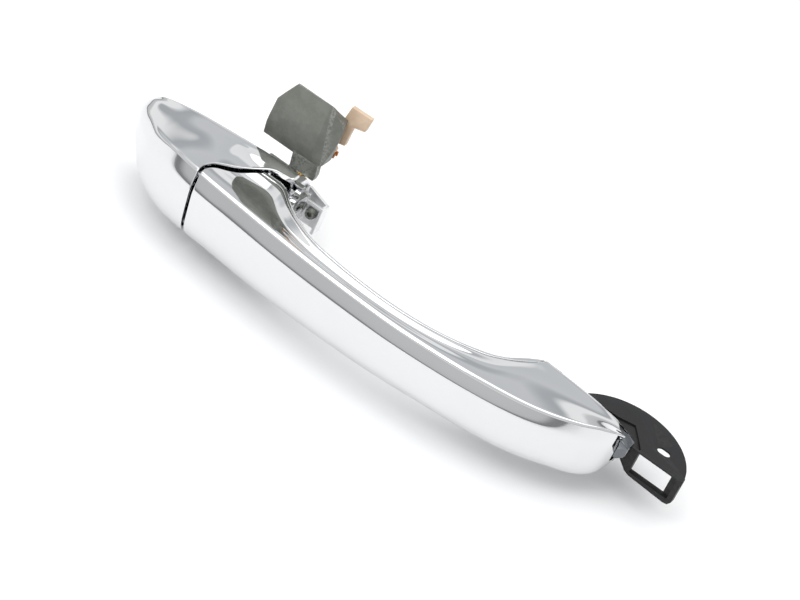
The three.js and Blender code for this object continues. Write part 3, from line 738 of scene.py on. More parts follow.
@dataclass
class Form:
    """The outer form of the plated pieces: tables of design X and the value there.

    Args:
        crease_y, crease_z: the crease between front and top.
        cap_back_z, strap_back_z: height of the back's edge.
        strap_back_y: the strap's back.
        strap_round: radius of its edge.
        underside: how deep the lower half is, against the upper.
        parting_y: the line between outer and inner cover.
        seam: the seam between cap and strap, as X and Y rows.
        seam_slant: how far the seam leans along X for each millimetre of height.
        bulge: how far the front stands out of the crease.
        swell: how late the lower front curves back.
        band_start: where the band below the crease begins, as a share of the height.
        band_ease: how softly it begins.
        full_height: height of the crease at the middle.
        fillets: rounding of the crease.
        sags: how far the top is hollowed.
        sag_lean: how far the hollow lies towards the back.
        foot_start: X from which the strap is its foot.
    """

    crease_y: Table = (
        (-144.3, -3), (-142.5, -8), (-138.5, -14), (-132.5, -20.5), (-122, -30), (-108.5, -36.2),
        (-93.5, -39.5), (-76.4, -41.4), (-54, -43.9), (-32, -45.4), (-11, -46), (10, -45.8), (30, -44.2),
        (50, -41.5), (70, -37.1), (84, -31.8), (96, -24.5), (103, -18.4), (108, -12.9), (111, -7))
    crease_z: Table = (
        (-144.3, 1.2), (-142.5, 3.6), (-138.5, 6.6), (-132.5, 9.2), (-122, 12.4), (-108.5, 15), (-97, 15.4),
        (-76, 15.1), (-54, 15), (-11, 14.2), (30, 13.3), (70, 12.8), (96, 12.4), (103, 12), (108, 10.2),
        (111, 6.6))
    cap_back_z: Table = (
        (-144.3, 1), (-142, 4.4), (-139.6, 6.8), (-134.8, 8.9), (-120.8, 11.8), (-111.7, 12.9), (-89, 15),
        (-76, 15.7), (-66, 15.4))
    strap_back_z: Table = (
        (-98, 13.7), (-74, 13.8), (-62, 14.5), (-54, 14.9), (-11, 14), (30, 13), (50, 12.4), (65, 11),
        (75, 10.1), (91, 8.8), (102, 7.2), (107, 5.6), (111, 4))
    strap_back_y: Table = (
        (-98, -8), (-71, -7.6), (-66, -9.4), (-62.6, -12.8), (-58.4, -16.9), (-51.4, -21.9), (-44, -25.2),
        (-34, -27.8), (-14.8, -29.6), (6.3, -29.4), (26.5, -26.1), (45.8, -18.9), (53.1, -13.7),
        (59.6, -5.6), (64, -1.2), (66, 0), (111, 0))
    strap_round: Table = (
        (-98, 4.5), (-66, 4.8), (-50, 6), (-35, 7), (30, 7), (50, 5.5), (60, 3), (66, 1.4), (111, 1.2))
    underside: Table = (
        (40, 1), (58, 1.05), (75, 1.09), (90, 1.1), (97, 1.16), (103, 1.24), (108, 1.22), (111, 1.1))
    parting_y: Table = (
        (-104, -13.6), (-71, -13.6), (-66, -15.2), (-58, -22.6), (-50, -28.2), (-36, -33.3), (-10, -36),
        (8, -35.6), (26, -32.4), (46, -25), (54, -18.4), (60, -11), (64, -4), (66.5, 6))
    seam: Table = (
        (-93.6, -70), (-93.6, -40), (-93.9, -34), (-92, -28), (-86, -20.4), (-79.5, -12.8), (-74.6, -8.5),
        (-70.4, -7.5), (-66, -7.2))
    seam_slant: float = 0.13
    bulge: float = 3.5
    swell: float = 5.0
    band_start: float = 0.42
    band_ease: float = 0.09
    full_height: float = 15.0
    fillets: Table = ((-144.3, 1.0), (-140, 2.4), (-132, 3.0), (-112, 1.2))
    sags: Table = (
        (-144.3, -0.7), (-138, -0.6), (-126, -0.1), (-112, 0.4), (-97, 0.5), (-92, 1.3), (-80, 1.7),
        (-60, 1.7), (-40, 1.4), (0, 0.9), (40, 0.6), (60, 0.5))
    sag_lean: float = 1.5
    foot_start: float = 66.0

    def seam_x(self, y: np.ndarray, z: np.ndarray, gap: float) -> np.ndarray:
        """Returns where the seam lies for points of a section, moved by gap towards the strap."""
        along = curve_through([(b, a) for a, b in self.seam])
        return along(y + gap) + gap + self.seam_slant * (self.full_height - z)

    def half_section(self, x: float, front: float, high: float, back: float, back_high: float,
                     turn: float) -> tuple[np.ndarray, np.ndarray, np.ndarray]:
        """Returns parts of a section at X as [y, z] rows.

        Args:
            x: where the section lies.
            front: Y of the crease.
            high: height of the crease.
            back: Y of the back.
            back_high: height of the back's edge.
            turn: radius of the back's edge.

        Returns:
            The front up to the upper crease, the front's lower half turned up, and the rest round the back.
        """
        size = min(float(curve_through(self.fillets)(x)), 0.5 * high, 0.4 * (back - turn - front))
        sag = float(curve_through(self.sags)(x))
        bulge = self.bulge * high / self.full_height
        s = np.sin(np.linspace(0.0, math.pi / 2, FACE_STEPS)) * (1.0 - size / high)
        shoulder = back - turn
        t = np.linspace(size / (shoulder - front), 1.0, TOP_STEPS)
        top = np.stack([front + (shoulder - front) * t,
                        high + (back_high - high) * t - sag * np.sin(math.pi * t ** self.sag_lean) ** 2], 1)
        u = np.linspace(0.0, 1.0, CREASE_STEPS + 2)[1:-1, None]
        corner = np.array([front, high])
        fronts = []
        for rise in (self._band(s), s ** self.swell):
            face = np.stack([front - bulge * (1 - rise), high * s], 1)
            bend = (1 - u) ** 2 * face[-1] + 2 * u * (1 - u) * corner + u ** 2 * top[0]
            fronts.append(np.concatenate([face, bend]))
        a = np.linspace(math.pi / 2, 0.0, CORNER_STEPS + 1)[1:]
        arc = np.stack([shoulder + turn * np.cos(a), back_high - turn * (1 - np.sin(a))], 1)
        behind = np.stack([np.full(BACK_STEPS, back),
                           np.linspace(back_high - turn, 0.0, BACK_STEPS + 1)[1:]], 1)
        return *fronts, np.concatenate([top, arc, behind])

    def _band(self, s: np.ndarray) -> np.ndarray:
        """Returns how far the front falls back: level up to the band below the crease, then sloping."""
        past = np.append(s, (0.0, 1.0)) - self.band_start
        lift = past + np.sqrt(past ** 2 + self.band_ease ** 2)
        return (lift[:-2] - lift[-2]) / (lift[-1] - lift[-2])


class Side(Enum):
    """Which side of the covers' parting line a skin lies on."""

    OUTER = "outer"
    INNER = "inner"


@dataclass
class Skin:
    """A shell piece of the plated form: an outer and an inner skin, joined round their edges.

    Args:
        name: the mesh's name.
        section: gives the parts of a section for X and an inset.
        cut_y: the Y at which the section is parted, for X.
        side: the side of that parting that is kept.
        start: X of the first row, or how to find it for points of the section.
        end: the same for the last row.
        reach: the lowest and highest X that any row has.
        rows: rows along X.
        pole: the design point that closes the first row, if it is closed.
        wall: thickness of the wall.
        edge: radius of its edges.
        across: steps between crease and parting.
        dense: sections that the rows are read from.
        edges: whether the first and the last row are rolled edges.
        below: how deep the lower half is against the upper, for X.
    """

    name: str
    section: Callable[[float, float], tuple[np.ndarray, ...]]
    cut_y: Callable[[np.ndarray], np.ndarray]
    side: Side
    start: float | Callable[[np.ndarray, np.ndarray], np.ndarray]
    end: float | Callable[[np.ndarray, np.ndarray], np.ndarray]
    reach: tuple[float, float]
    rows: int
    pole: Point | None = None
    wall: float = 1.2
    edge: float = 0.4
    across: int = 30
    dense: int = 900
    edges: tuple[bool, bool] = field(default=(True, True))
    below: Callable[[float], float] = field(default=lambda x: 1.0)

    def _columns(self, x: float, inset: float) -> tuple[np.ndarray, np.ndarray]:
        """Returns a full section's [y, z] rows, and each one's distance from the parting."""
        upper, lower, rest = self.section(x, inset)
        steps = np.concatenate([[0.0], np.cumsum(np.linalg.norm(np.diff(rest, axis=0), axis=1))])
        parting = float(np.interp(float(self.cut_y(x)), rest[:-BACK_STEPS, 0], steps[:-BACK_STEPS]))
        parting = min(parting, steps[-BACK_STEPS - 1])
        near = EDGE_STEPS * self.edge
        mirror = (1.0, -float(self.below(x)))
        if self.side is Side.OUTER:
            inner = np.linspace(0.0, max(parting - self.edge, 0.5 * parting), self.across)[:-1]
            where = np.concatenate([inner, parting - np.minimum(near[::-1], 0.5 * parting)])
            points = np.stack([np.interp(where, steps, rest[:, i]) for i in (0, 1)], 1)
            half = np.concatenate([upper, points])
            far = np.concatenate([np.full(len(upper), FAR), parting - where])
            mirrored = np.concatenate([lower, points])[:0:-1] * mirror
            return np.concatenate([mirrored, half]), np.concatenate([far[:0:-1], far])
        length = steps[-1] - parting
        inner = np.linspace(min(self.edge, 0.5 * length), length, self.across)[1:]
        where = parting + np.concatenate([np.minimum(near, 0.5 * length), inner])
        half = np.stack([np.interp(where, steps, rest[:, i]) for i in (0, 1)], 1)
        far = where - parting
        mirrored = (half * mirror)[-2::-1]
        return np.concatenate([half, mirrored]), np.concatenate([far, far[-2::-1]])

    def _grid(self, inset: float) -> tuple[np.ndarray, np.ndarray, np.ndarray]:
        """Returns a skin's points, and their distances from the edges across and along."""
        xs = np.linspace(*self.reach, self.dense)
        sections = [self._columns(x, inset) for x in xs]
        flat = np.array([points for points, _ in sections])
        far = np.array([distance for _, distance in sections])
        columns = flat.shape[1]
        limits = [self._limit(self.start, xs, flat), self._limit(self.end, xs, flat)]
        grow = []
        for limit in limits:
            middle = np.array([np.interp(limit[k], xs, flat[:, k, 0]) for k in range(columns)])
            height = np.array([np.interp(limit[k], xs, flat[:, k, 1]) for k in range(columns)])
            run = np.concatenate([[0.0], np.cumsum(np.hypot(np.diff(middle), np.diff(height)))])
            lean = np.gradient(limit, run + np.arange(columns) * 1e-6)
            grow.append(np.sqrt(1.0 + lean ** 2).clip(1.0, MOST_LEAN))
        near = EDGE_STEPS * self.edge
        first = limits[0] + np.outer(near, grow[0]) if self.edges[0] else limits[0][None]
        last = limits[1] - np.outer(near[::-1], grow[1]) if self.edges[1] else limits[1][None]
        middle = first[-1] + np.outer(spread(self.rows), last[0] - first[-1])
        x = np.concatenate([first, middle[1:-1], last])
        along = np.full(x.shape, FAR)
        if self.edges[0]:
            along[:len(near)] = near[:, None]
        if self.edges[1]:
            along[-len(near):] = near[::-1, None]
        pick = [[np.interp(x[:, k], xs, source[:, k]) for k in range(columns)]
                for source in (flat[..., 0], flat[..., 1], far)]
        y, z, distance = (np.array(rows).T for rows in pick)
        return np.stack([x, y, z], 2), distance, along

    @staticmethod
    def _limit(rule: float | Callable, xs: np.ndarray, flat: np.ndarray) -> np.ndarray:
        """Returns the X at which each column starts or ends."""
        columns = flat.shape[1]
        if not callable(rule):
            return np.full(columns, float(rule))
        offset = xs[:, None] - rule(flat[..., 0], flat[..., 1])
        found = np.empty(columns)
        for k in range(columns):
            i = max(int(np.argmax(offset[:, k] > 0)), 1)
            share = -offset[i - 1, k] / (offset[i, k] - offset[i - 1, k])
            found[k] = xs[i - 1] + (xs[i] - xs[i - 1]) * np.clip(share, 0.0, 1.0)
        return found

    def build(self) -> bpy.types.Mesh:
        """Returns the closed shell."""
        outer, across, along = self._grid(0.0)
        inner, _, _ = self._grid(self.wall)
        outer = self._roll_edges(outer, across, along)
        if self.pole is not None:
            outer[0] = self.pole
            inner[0] = inner[0].mean(axis=0)
        rows, columns = outer.shape[:2]
        number = np.arange(rows * columns).reshape(rows, columns)
        quads = np.stack([number[:-1, :-1], number[1:, :-1], number[1:, 1:], number[:-1, 1:]], -1)
        quads = quads.reshape(-1, 4)
        loop = np.concatenate([number[0, :-1], number[:-1, -1], number[-1, :0:-1], number[:0:-1, 0]])
        step = np.roll(loop, -1)
        shift = rows * columns
        rim = np.stack([loop, step, step + shift, loop + shift], -1)
        faces = np.concatenate([quads, quads[:, ::-1] + shift, rim])
        points = np.concatenate([outer.reshape(-1, 3), inner.reshape(-1, 3)])
        return mesh_from(self.name, points, faces)

    def _roll_edges(self, grid: np.ndarray, across: np.ndarray, along: np.ndarray) -> np.ndarray:
        """Returns the outer skin with its edges rolled in by the edge radius."""
        du = np.gradient(grid, axis=0)
        dv = np.gradient(grid, axis=1)
        normal = np.cross(du, dv)
        normal /= np.linalg.norm(normal, axis=2, keepdims=True) + 1e-12
        centre = np.array([grid[..., 0].mean(), CORE_Y, 0.0])
        if ((grid - centre) * normal * (0, 1, 1)).sum() < 0:
            normal = -normal
        short = np.minimum(np.minimum(across, along), self.edge)
        depth = self.edge - np.sqrt(self.edge ** 2 - (self.edge - short) ** 2)
        return grid - normal * depth[..., None]


# ------------------------------------------------------------------ sub-assemblies
COIL_STEPS = 90
WIRE_STEP = 0.5   # along a wire


@dataclass(frozen=True)
class Workshop:
    """The form and the node trees that several sub-assemblies share.

    Args:
        form: the plated pieces' outer form.
        wires, threads, knurls: the trees that grow wires, screw threads and knurls.
    """

    form: Form
    wires: Growth
    threads: Growth
    knurls: Growth

    def wire(self, name: str, path: np.ndarray, radius: float, step: float, finish: Finish) -> bpy.types.Mesh:
        """Returns a round wire along a path of design points."""
        edges = [(i, i + 1) for i in range(len(path) - 1)]
        line = bpy.data.meshes.new("path")
        line.from_pydata(to_frame(path).tolist(), edges, [])
        made = self.wires.grow(name, line, {
            "Radius": radius * MM, "Step": step * MM, "Finish": finish.material()})
        return smooth(made)


def ring_profile(inner: float, outer: float, length: float, ease: float) -> Table:
    """Returns the turning profile of a tube with eased outer edges."""
    return [(inner, 0), (outer - ease, 0), (outer, ease), (outer, length - ease),
            (outer - ease, length), (inner, length), (inner, 0)]


@dataclass
class EndCap:
    """The fixed end: plated cap, its base, gasket and screw.

    Args:
        shop: the shared form and trees.
        tip, end: X of its two ends.
        back_y, inner_back_y: Y of its back edge, and of its cavity's.
        seam_half: half the seam's width.
        nose_start, nose_length: the stretch in which the wall turns from the tip to the sides.
        turn: radius of the back edge.
        castings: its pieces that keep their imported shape.
        least_high, least_back: the least heights of its crease and back edge.
        least_deep: the least depth from crease to back.
        screw_x, screw_y, screw: where the screw's tip stands, and its sizes.
        insert_radius, insert_bore, insert_length, knurls, knurl: sizes of the knurled insert.
    """

    shop: Workshop
    tip: float = -144.3
    end: float = -66.0
    back_y: float = -0.3
    inner_back_y: float = 4.0
    seam_half: float = 0.75
    nose_start: float = -110.0
    nose_length: float = 34.0
    turn: float = 0.8
    least_high: float = 0.6
    least_back: float = 0.5
    least_deep: float = 1.8
    castings: tuple[Casting, ...] = (
        Casting("end_cap_base", "cap_base", Finishes.CHROME, 0.35),
        Casting("rear_gasket", "gasket", Finishes.RUBBER, 0.3),
        Casting("strap_bumper", "bumper", Finishes.RUBBER, 0.3))
    screw_x: float = -118.0
    screw_y: float = -1.0
    screw: Screw = Screw(12.6, 1.9, 5.0, 3.2, 0.8, 1.7, flange=True)
    insert_radius: float = 2.95
    insert_bore: float = 2.25
    insert_length: float = 7.6
    knurls: int = 36
    knurl: float = 0.2

    def section(self, x: float, inset: float) -> tuple[np.ndarray, ...]:
        """Returns the cap's half section at X, moved in by inset."""
        form = self.shop.form
        source = x - inset * max(0.0, (self.nose_start - x) / self.nose_length)
        high = max(float(curve_through(form.crease_z)(source)) - inset, self.least_high)
        back_high = max(float(curve_through(form.cap_back_z)(source)) - inset, self.least_back)
        back = self.back_y if inset == 0 else self.inner_back_y
        front = min(float(curve_through(form.crease_y)(source)) + inset, back - self.least_deep)
        return form.half_section(x, front, high, back, back_high, min(self.turn, back_high / 2))

    def build(self) -> None:
        """Builds and dresses every piece of the fixed end."""
        form = self.shop.form
        shell = Skin(
            "cap", self.section, lambda x: self.back_y, Side.OUTER, start=self.tip,
            end=lambda y, z: np.minimum(form.seam_x(y, z, -self.seam_half), self.end),
            reach=(self.tip, self.end + 1.0), rows=130, pole=(self.tip, self.back_y - 1.0, 0.0),
            edges=(False, True))
        place(smooth(shell.build()), "cap_shell", Body.DOOR, Finishes.CHROME, "end_cap_shell")
        for casting in self.castings:
            casting.put(Body.DOOR)
        screw = self.screw.build("cap_screw_form", self.shop.threads)
        screw = stood(screw, (self.screw_x, self.screw_y, 0.0), "Y")
        place(screw, "cap_screw_turned", Body.DOOR, Finishes.STEEL, "cap_screw")
        place(self._insert(), "cap_insert", Body.DOOR, Finishes.BRASS, "cap_screw_insert")

    def _insert(self) -> bpy.types.Mesh:
        """Returns the knurled insert."""
        profile = ring_profile(self.insert_bore, self.insert_radius, self.insert_length, 0.3)
        ring = turned("insert", profile)
        ring.transform(Matrix.Translation((0.0, 0.0, -0.5 * self.insert_length * MM)))
        made = self.shop.knurls.grow("insert", ring, {
            "Radius": self.insert_radius * MM, "Height": (self.insert_length - 1.4) * MM,
            "Count": self.knurls, "Ridge": self.knurl * MM, "Finish": Finishes.BRASS.material()})
        return stood(made, (self.screw_x, 0.5 * self.insert_length, 0.0), "Y")


@dataclass
class Strap:
    """The swinging strap: its covers, core, pull leg and screws.

    Args:
        shop: the shared form and trees.
        start, tip: X of its two ends.
        seam_half: half the width of the seam towards the cap.
        parting_half: half the gap between the covers.
        inner_end: X at which the inner cover ends.
        foot_lead, foot_blend: where before the foot its back wall starts to turn, and over what length.
        foot_gain: how far the cavity opens through the back at the foot, for each unit of wall.
        least_turn: the least radius of its back edge.
        least_deep: the least depth from crease to back.
        castings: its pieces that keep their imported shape.
        leg_room, hinge_room: the openings for the pull leg and the hinge leg, as X, Y and Z limits.
        leg_screw, foot_screw, stop_bolt: its screws.
        stop_bolt_tip: where the stop bolt's tip stands.
    """

    shop: Workshop
    start: float = -98.0
    tip: float = 110.9
    seam_half: float = 0.75
    parting_half: float = 0.17
    inner_end: float = 64.6
    foot_lead: float = 4.0
    foot_blend: float = 6.0
    foot_gain: float = 1.8
    least_turn: float = 0.5
    least_deep: float = 2.0
    castings: tuple[Casting, ...] = (
        Casting("pull_leg", "leg_loop", Finishes.CHROME, 0.4),
        Casting("foot_pad", "foot_rest", Finishes.RUBBER, 0.3))
    leg_room: tuple[float, ...] = (-64.95, -59.85, -19.35, 3.0, -8.85, 8.35)
    hinge_room: tuple[float, ...] = (86.9, 125.0, -10.6, -0.8, -5.3, 6.7)
    leg_screw: Screw = Screw(28.2, 1.25, 1.7, 2.2, 0.7, 0.85)
    foot_screw: Screw = Screw(14.1, 1.5, 2.7, 1.3, 0.8, 1.2)
    stop_bolt: Screw = Screw(5.6, 1.25, 2.6, 2.55, 0.6, 1.1)
    stop_bolt_tip: Point = (-57.6, 9.8, -2.4)

    def section(self, x: float, inset: float) -> tuple[np.ndarray, ...]:
        """Returns the strap's half section at X, moved in by inset."""
        form = self.shop.form
        t = min(max((x - form.foot_start + self.foot_lead) / self.foot_blend, 0.0), 1.0)
        foot = t * t * (3.0 - 2.0 * t)
        back = float(curve_through(form.strap_back_y)(x)) - inset * (1.0 - self.foot_gain * foot)
        high = float(curve_through(form.crease_z)(x)) - inset
        back_high = float(curve_through(form.strap_back_z)(x)) - inset
        turn = max(float(curve_through(form.strap_round)(x)) - inset, self.least_turn)
        front = min(float(curve_through(form.crease_y)(x)) + inset, back - self.least_deep)
        return form.half_section(x, front, high, back, back_high, turn)

    def build(self) -> None:
        """Builds and dresses every piece of the strap."""
        form = self.shop.form
        parting = curve_through(form.parting_y)
        below = curve_through(form.underside)
        covers = (
            ("outer", lambda x: min(float(parting(x)) - self.parting_half, 0.0), Side.OUTER, self.tip, 250,
             self.hinge_room),
            ("inner", lambda x: float(parting(x)) + self.parting_half, Side.INNER, self.inner_end, 190,
             self.leg_room))
        for name, cut_y, side, end, rows, room in covers:
            cover = Skin(
                name, self.section, cut_y, side, start=lambda y, z: form.seam_x(y, z, self.seam_half),
                end=end, reach=(self.start, end), rows=rows, below=below)
            made = smooth(carve(cover.build(), block(*room)))
            place(made, f"{name}_cover", Body.STRAP, Finishes.CHROME, f"grip_{name}_cover")
        dress("grip_core", Finishes.CORE)
        for casting in self.castings:
            casting.put(Body.STRAP)
        bolt = stood(self.stop_bolt.build("stop_bolt", self.shop.threads), self.stop_bolt_tip, "-Y")
        place(bolt, "stop_bolt", Body.STRAP, Finishes.ZINC, "leg_stop_bolt")
        for number in (1, 2):
            self._screw(f"leg_screw_{number}", self.leg_screw)
            self._screw(f"foot_screw_{number}", self.foot_screw)

    def _screw(self, node: str, screw: Screw) -> None:
        """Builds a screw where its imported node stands."""
        low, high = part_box(node)
        middle = (low + high) / 2
        tip = (middle.x / MM - BASE_X, low.y / MM, middle.z / MM)
        made = stood(screw.build(node, self.shop.threads), tip, "Y")
        place(made, f"{node}_turned", Body.STRAP, Finishes.STEEL, node)


@dataclass
class Hinge:
    """The front hinge: smoky plated leg and the moulded horn.

    Args:
        castings: its pieces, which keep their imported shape.
    """

    castings: tuple[Casting, ...] = (
        Casting("hinge_leg", "hinge_neck", Finishes.SMOKE, 0.5),
        Casting("hinge_horn", "horn", Finishes.NYLON, 0.35))

    def build(self) -> None:
        """Builds and dresses the leg and the horn."""
        for casting in self.castings:
            casting.put(Body.STRAP)


@dataclass
class BellCrank:
    """The bell crank with its weight, stud, lever, pin and spring.

    Args:
        shop: the shared form and trees.
        castings: the crank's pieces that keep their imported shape.
        pin_clip: the clip, which stays with the pin.
        axis_y, axis_z: where the pin's axis lies.
        pin_end, pin_radius, pin_length, pin_head: the pin's clip end and sizes.
        stud_at: where the stud's foot stands.
        bushes: each bush's node, X and length.
        bush_radius, bush_play: a bush's outer radius, and the room round the pin.
        coil_start, coil_width, coil_turns, coil_radius, coil_wire: the spring's coil.
        first_leg, last_leg: how its two legs run on from the coil.
    """

    shop: Workshop
    castings: tuple[Casting, ...] = (
        Casting("bell_crank", "crank_casting", Finishes.ZINC, 0.6, degrees=18.0),
        Casting("rod_lever", "lever", Finishes.BEIGE, 0.45),
        Casting("lever_clip", "lever_spring_clip", Finishes.COPPER, 0.25))
    pin_clip: Casting = Casting("crank_pin_clip", "pin_clip", Finishes.STEEL, 0.15)
    axis_y: float = 12.0
    axis_z: float = 2.0
    pin_end: float = -93.6
    pin_radius: float = 1.6
    pin_length: float = 28.2
    pin_head: float = 2.6
    stud_at: Point = (-78.4, 16.446, -10.216)
    bushes: tuple[tuple[str, float, float], ...] = (
        ("crank_bush_left", -88.2, 6.0), ("crank_bush_right", -73.0, 3.4))
    bush_radius: float = 2.7
    bush_play: float = 0.3
    coil_start: float = -73.0
    coil_width: float = 2.7
    coil_turns: float = 2.2
    coil_radius: float = 4.3
    coil_wire: float = 0.58
    first_leg: Point = (0.0, 0.0, -6.6)
    last_leg: Point = (3.3, 3.7, 0.9)

    def build(self) -> None:
        """Builds and dresses every piece of the crank."""
        for casting in self.castings:
            casting.put(Body.CRANK)
        self.pin_clip.put(Body.DOOR)
        place(self._pin(), "pin", Body.DOOR, Finishes.STEEL, "crank_pin")
        place(self._stud(), "stud", Body.CRANK, Finishes.STEEL, "drive_stud")
        for node, x, length in self.bushes:
            bore = self.pin_radius + self.bush_play
            tube = turned(node, ring_profile(bore, self.bush_radius, length, 0.25))
            tube = stood(tube, (x, self.axis_y, self.axis_z), "X")
            place(tube, f"{node}_moulded", Body.CRANK, Finishes.BUSH, node)
        place(self._spring(), "coil_spring", Body.DOOR, Finishes.YELLOW, "return_spring")

    def _pin(self) -> bpy.types.Mesh:
        """Returns the pivot pin, grooved for its clip."""
        r, end, head = self.pin_radius, self.pin_length, self.pin_head
        profile = [(0, 0), (r - 0.3, 0), (r, 0.3), (r, 0.55), (r - 0.25, 0.6), (r - 0.25, 1.4), (r, 1.45),
                   (r, end - 1.0), (head - 0.3, end - 1.0), (head, end - 0.7), (head, end - 0.3),
                   (head - 0.3, end), (0, end)]
        return stood(turned("pin", profile), (self.pin_end, self.axis_y, self.axis_z), "X")

    def _stud(self) -> bpy.types.Mesh:
        """Returns the drive stud."""
        profile = [(0, 0), (1.0, 0), (1.3, 0.3), (1.3, 4.8), (2.1, 4.8), (2.4, 5.1), (2.4, 16.7), (2.0, 17.2),
                   (1.4, 17.4), (0, 17.4)]
        return stood(turned("stud", profile), self.stud_at, "X")

    def _spring(self) -> bpy.types.Mesh:
        """Returns the torsion spring with its two legs."""
        t = np.linspace(0.0, 1.0, COIL_STEPS)
        angle = 2 * math.pi * self.coil_turns * t
        coil = np.stack([self.coil_start + self.coil_width * t,
                         self.axis_y + self.coil_radius * np.cos(angle),
                         self.axis_z + self.coil_radius * np.sin(angle)], 1)
        path = np.concatenate([[coil[0] + self.first_leg], coil, [coil[-1] + self.last_leg]])
        return self.shop.wire("spring", path, self.coil_wire, WIRE_STEP, Finishes.YELLOW)


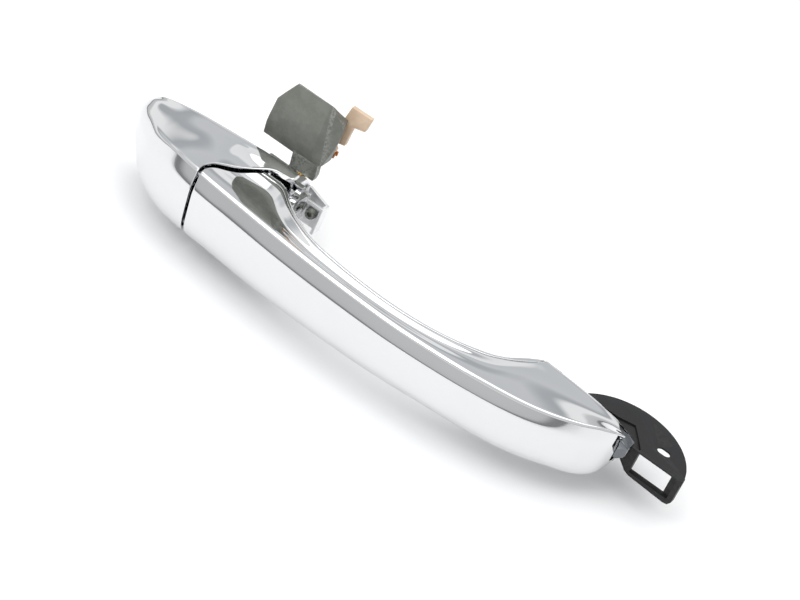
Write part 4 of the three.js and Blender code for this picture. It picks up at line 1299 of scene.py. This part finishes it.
# ------------------------------------------------------------------ studio
@dataclass
class Studio:
    """Floor, light and camera, in metres and degrees.

    Args:
        target: the point that the camera looks at.
        elevation, azimuth, roll, distance: where the camera stands and how it is turned.
        lens, sensor, clip_start: the camera's lens and sensor width in millimetres, and its near limit.
        floor_half: half the floor's width.
        floor_grey, floor_roughness: the floor's paper.
        clearance: how far the floor lies below the handle.
        sky_strength: strength of the walls' light.
        drift, drift_scale: how far the walls' bands wander, and how often.
        lamps: each lamp's name, place, aim, width and power.
        walls: the walls' greys by height, from below at 0 to above at 1.
    """

    target: Point = (0.106, -0.011, 0.0)
    elevation: float = 35.0
    azimuth: float = 17.0
    roll: float = 25.5
    distance: float = 1.25
    lens: float = 135.0
    sensor: float = 36.0
    clip_start: float = 0.05
    floor_half: float = 4.0
    floor_grey: float = 0.93
    floor_roughness: float = 0.7
    clearance: float = 0.011
    sky_strength: float = 1.05
    drift: float = 0.06
    drift_scale: float = 2.2
    lamps: tuple[tuple[str, Point, Point, float, float], ...] = (
        ("overhead", (0.1, 0.25, 1.3), (0.1, 0.0, 0.0), 1.3, 6.0),
        ("front", (-0.3, -1.0, 1.25), (0.1, -0.2, 0.0), 0.9, 8.5))
    walls: tuple[tuple[float, Point], ...] = (
        (0.0, (0.9, 0.9, 0.9)), (0.485, (0.8, 0.8, 0.81)), (0.497, (0.24, 0.245, 0.25)),
        (0.512, (0.26, 0.265, 0.27)), (0.527, (0.58, 0.585, 0.59)), (0.585, (0.66, 0.665, 0.67)),
        (0.61, (0.97, 0.97, 0.97)), (0.66, (0.97, 0.97, 0.97)), (0.68, (0.46, 0.48, 0.5)),
        (0.7, (0.5, 0.52, 0.54)), (0.725, (0.67, 0.68, 0.7)), (0.8, (0.64, 0.66, 0.68)),
        (0.82, (0.97, 0.97, 0.97)), (0.865, (0.93, 0.93, 0.94)), (0.885, (0.52, 0.54, 0.56)),
        (0.905, (0.58, 0.6, 0.62)), (0.93, (1.0, 1.0, 1.0)), (1.0, (1.0, 1.0, 1.0)))

    def build(self) -> None:
        """Sets up the floor, the lights, the world and the camera."""
        self._floor()
        self._world()
        for lamp in self.lamps:
            self._light(*lamp)
        self._camera()
        bpy.context.scene.view_settings.view_transform = "Standard"

    def _floor(self) -> None:
        """Lays the floor a little below the handle."""
        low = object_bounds()[0][2] - self.clearance
        half = self.floor_half
        mesh = bpy.data.meshes.new("floor")
        corners = [(-half, -half, low), (half, -half, low), (half, half, low), (-half, half, low)]
        mesh.from_pydata(corners, [], [(0, 1, 2, 3)])
        made = bpy.data.materials.new("floor_paper")
        made.use_nodes = True
        shader = Shader(made.node_tree)
        surface = shader.node("ShaderNodeBsdfPrincipled", {}, {
            "Base Color": (*(self.floor_grey,) * 3, 1.0), "Roughness": self.floor_roughness})
        shader.node("ShaderNodeOutputMaterial", {}, {"Surface": surface})
        mesh.materials.append(made)
        floor = bpy.data.objects.new("floor", mesh)
        bpy.context.scene.collection.objects.link(floor)
        floor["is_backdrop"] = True

    def _world(self) -> None:
        """Writes the studio's walls as bands of grey by height."""
        world = bpy.data.worlds.new("studio")
        world.use_nodes = True
        bpy.context.scene.world = world
        shader = Shader(world.node_tree)
        way = shader.node("ShaderNodeTexCoord", output="Generated")
        height = shader.node("ShaderNodeSeparateXYZ", {}, {0: way}, output="Z")
        drift = shader.node("ShaderNodeTexNoise", {}, {
            "Vector": way, "Scale": self.drift_scale, "Detail": 2.0})
        level = (height + (drift - 0.5) * self.drift) * 0.5 + 0.5
        bands = shader.node("ShaderNodeValToRGB", {"stops": self.walls}, {0: level})
        sky = shader.node("ShaderNodeBackground", {}, {"Color": bands, "Strength": self.sky_strength})
        shader.node("ShaderNodeOutputWorld", {}, {"Surface": sky})

    @staticmethod
    def _light(name: str, at: Point, aim: Point, size: float, power: float) -> None:
        """Hangs a square soft light that faces a point."""
        lamp = bpy.data.lights.new(name, "AREA")
        lamp.size = size
        lamp.energy = power
        light = bpy.data.objects.new(name, lamp)
        light.location = at
        light.rotation_euler = (Vector(aim) - Vector(at)).to_track_quat("-Z", "Y").to_euler()
        bpy.context.scene.collection.objects.link(light)

    def _camera(self) -> None:
        """Sets the camera."""
        e, a, r = (math.radians(v) for v in (self.elevation, self.azimuth, self.roll))
        back = Vector((math.sin(a) * math.cos(e), -math.cos(a) * math.cos(e), math.sin(e)))
        right = Vector((math.cos(a), math.sin(a), 0.0))
        up = back.cross(right)
        side = math.cos(r) * right + math.sin(r) * up
        top = math.cos(r) * up - math.sin(r) * right
        data = bpy.data.cameras.new("camera")
        data.lens = self.lens
        data.sensor_width = self.sensor
        data.clip_start = self.clip_start
        camera = bpy.data.objects.new("camera", data)
        turn = Matrix((side, top, back)).transposed().to_4x4()
        camera.matrix_world = Matrix.Translation(Vector(self.target) + back * self.distance) @ turn
        bpy.context.scene.collection.objects.link(camera)
        bpy.context.scene.camera = camera


def corners(bounds: Sequence[Sequence[float]]) -> list[list[float]]:
    """Returns a box's corners as plain numbers."""
    return [[float(value) for value in corner] for corner in bounds]


def main() -> None:
    """Builds the handle and its studio."""
    logging.basicConfig(level=logging.INFO, format="%(name)s %(message)s", stream=sys.stdout)
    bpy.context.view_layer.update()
    shop = Workshop(Form(), sweep_tree(), thread_tree(), knurl_tree())
    for assembly in (EndCap(shop), Strap(shop), Hinge(), BellCrank(shop), Studio()):
        assembly.build()


if __name__ == "__main__":
    main()
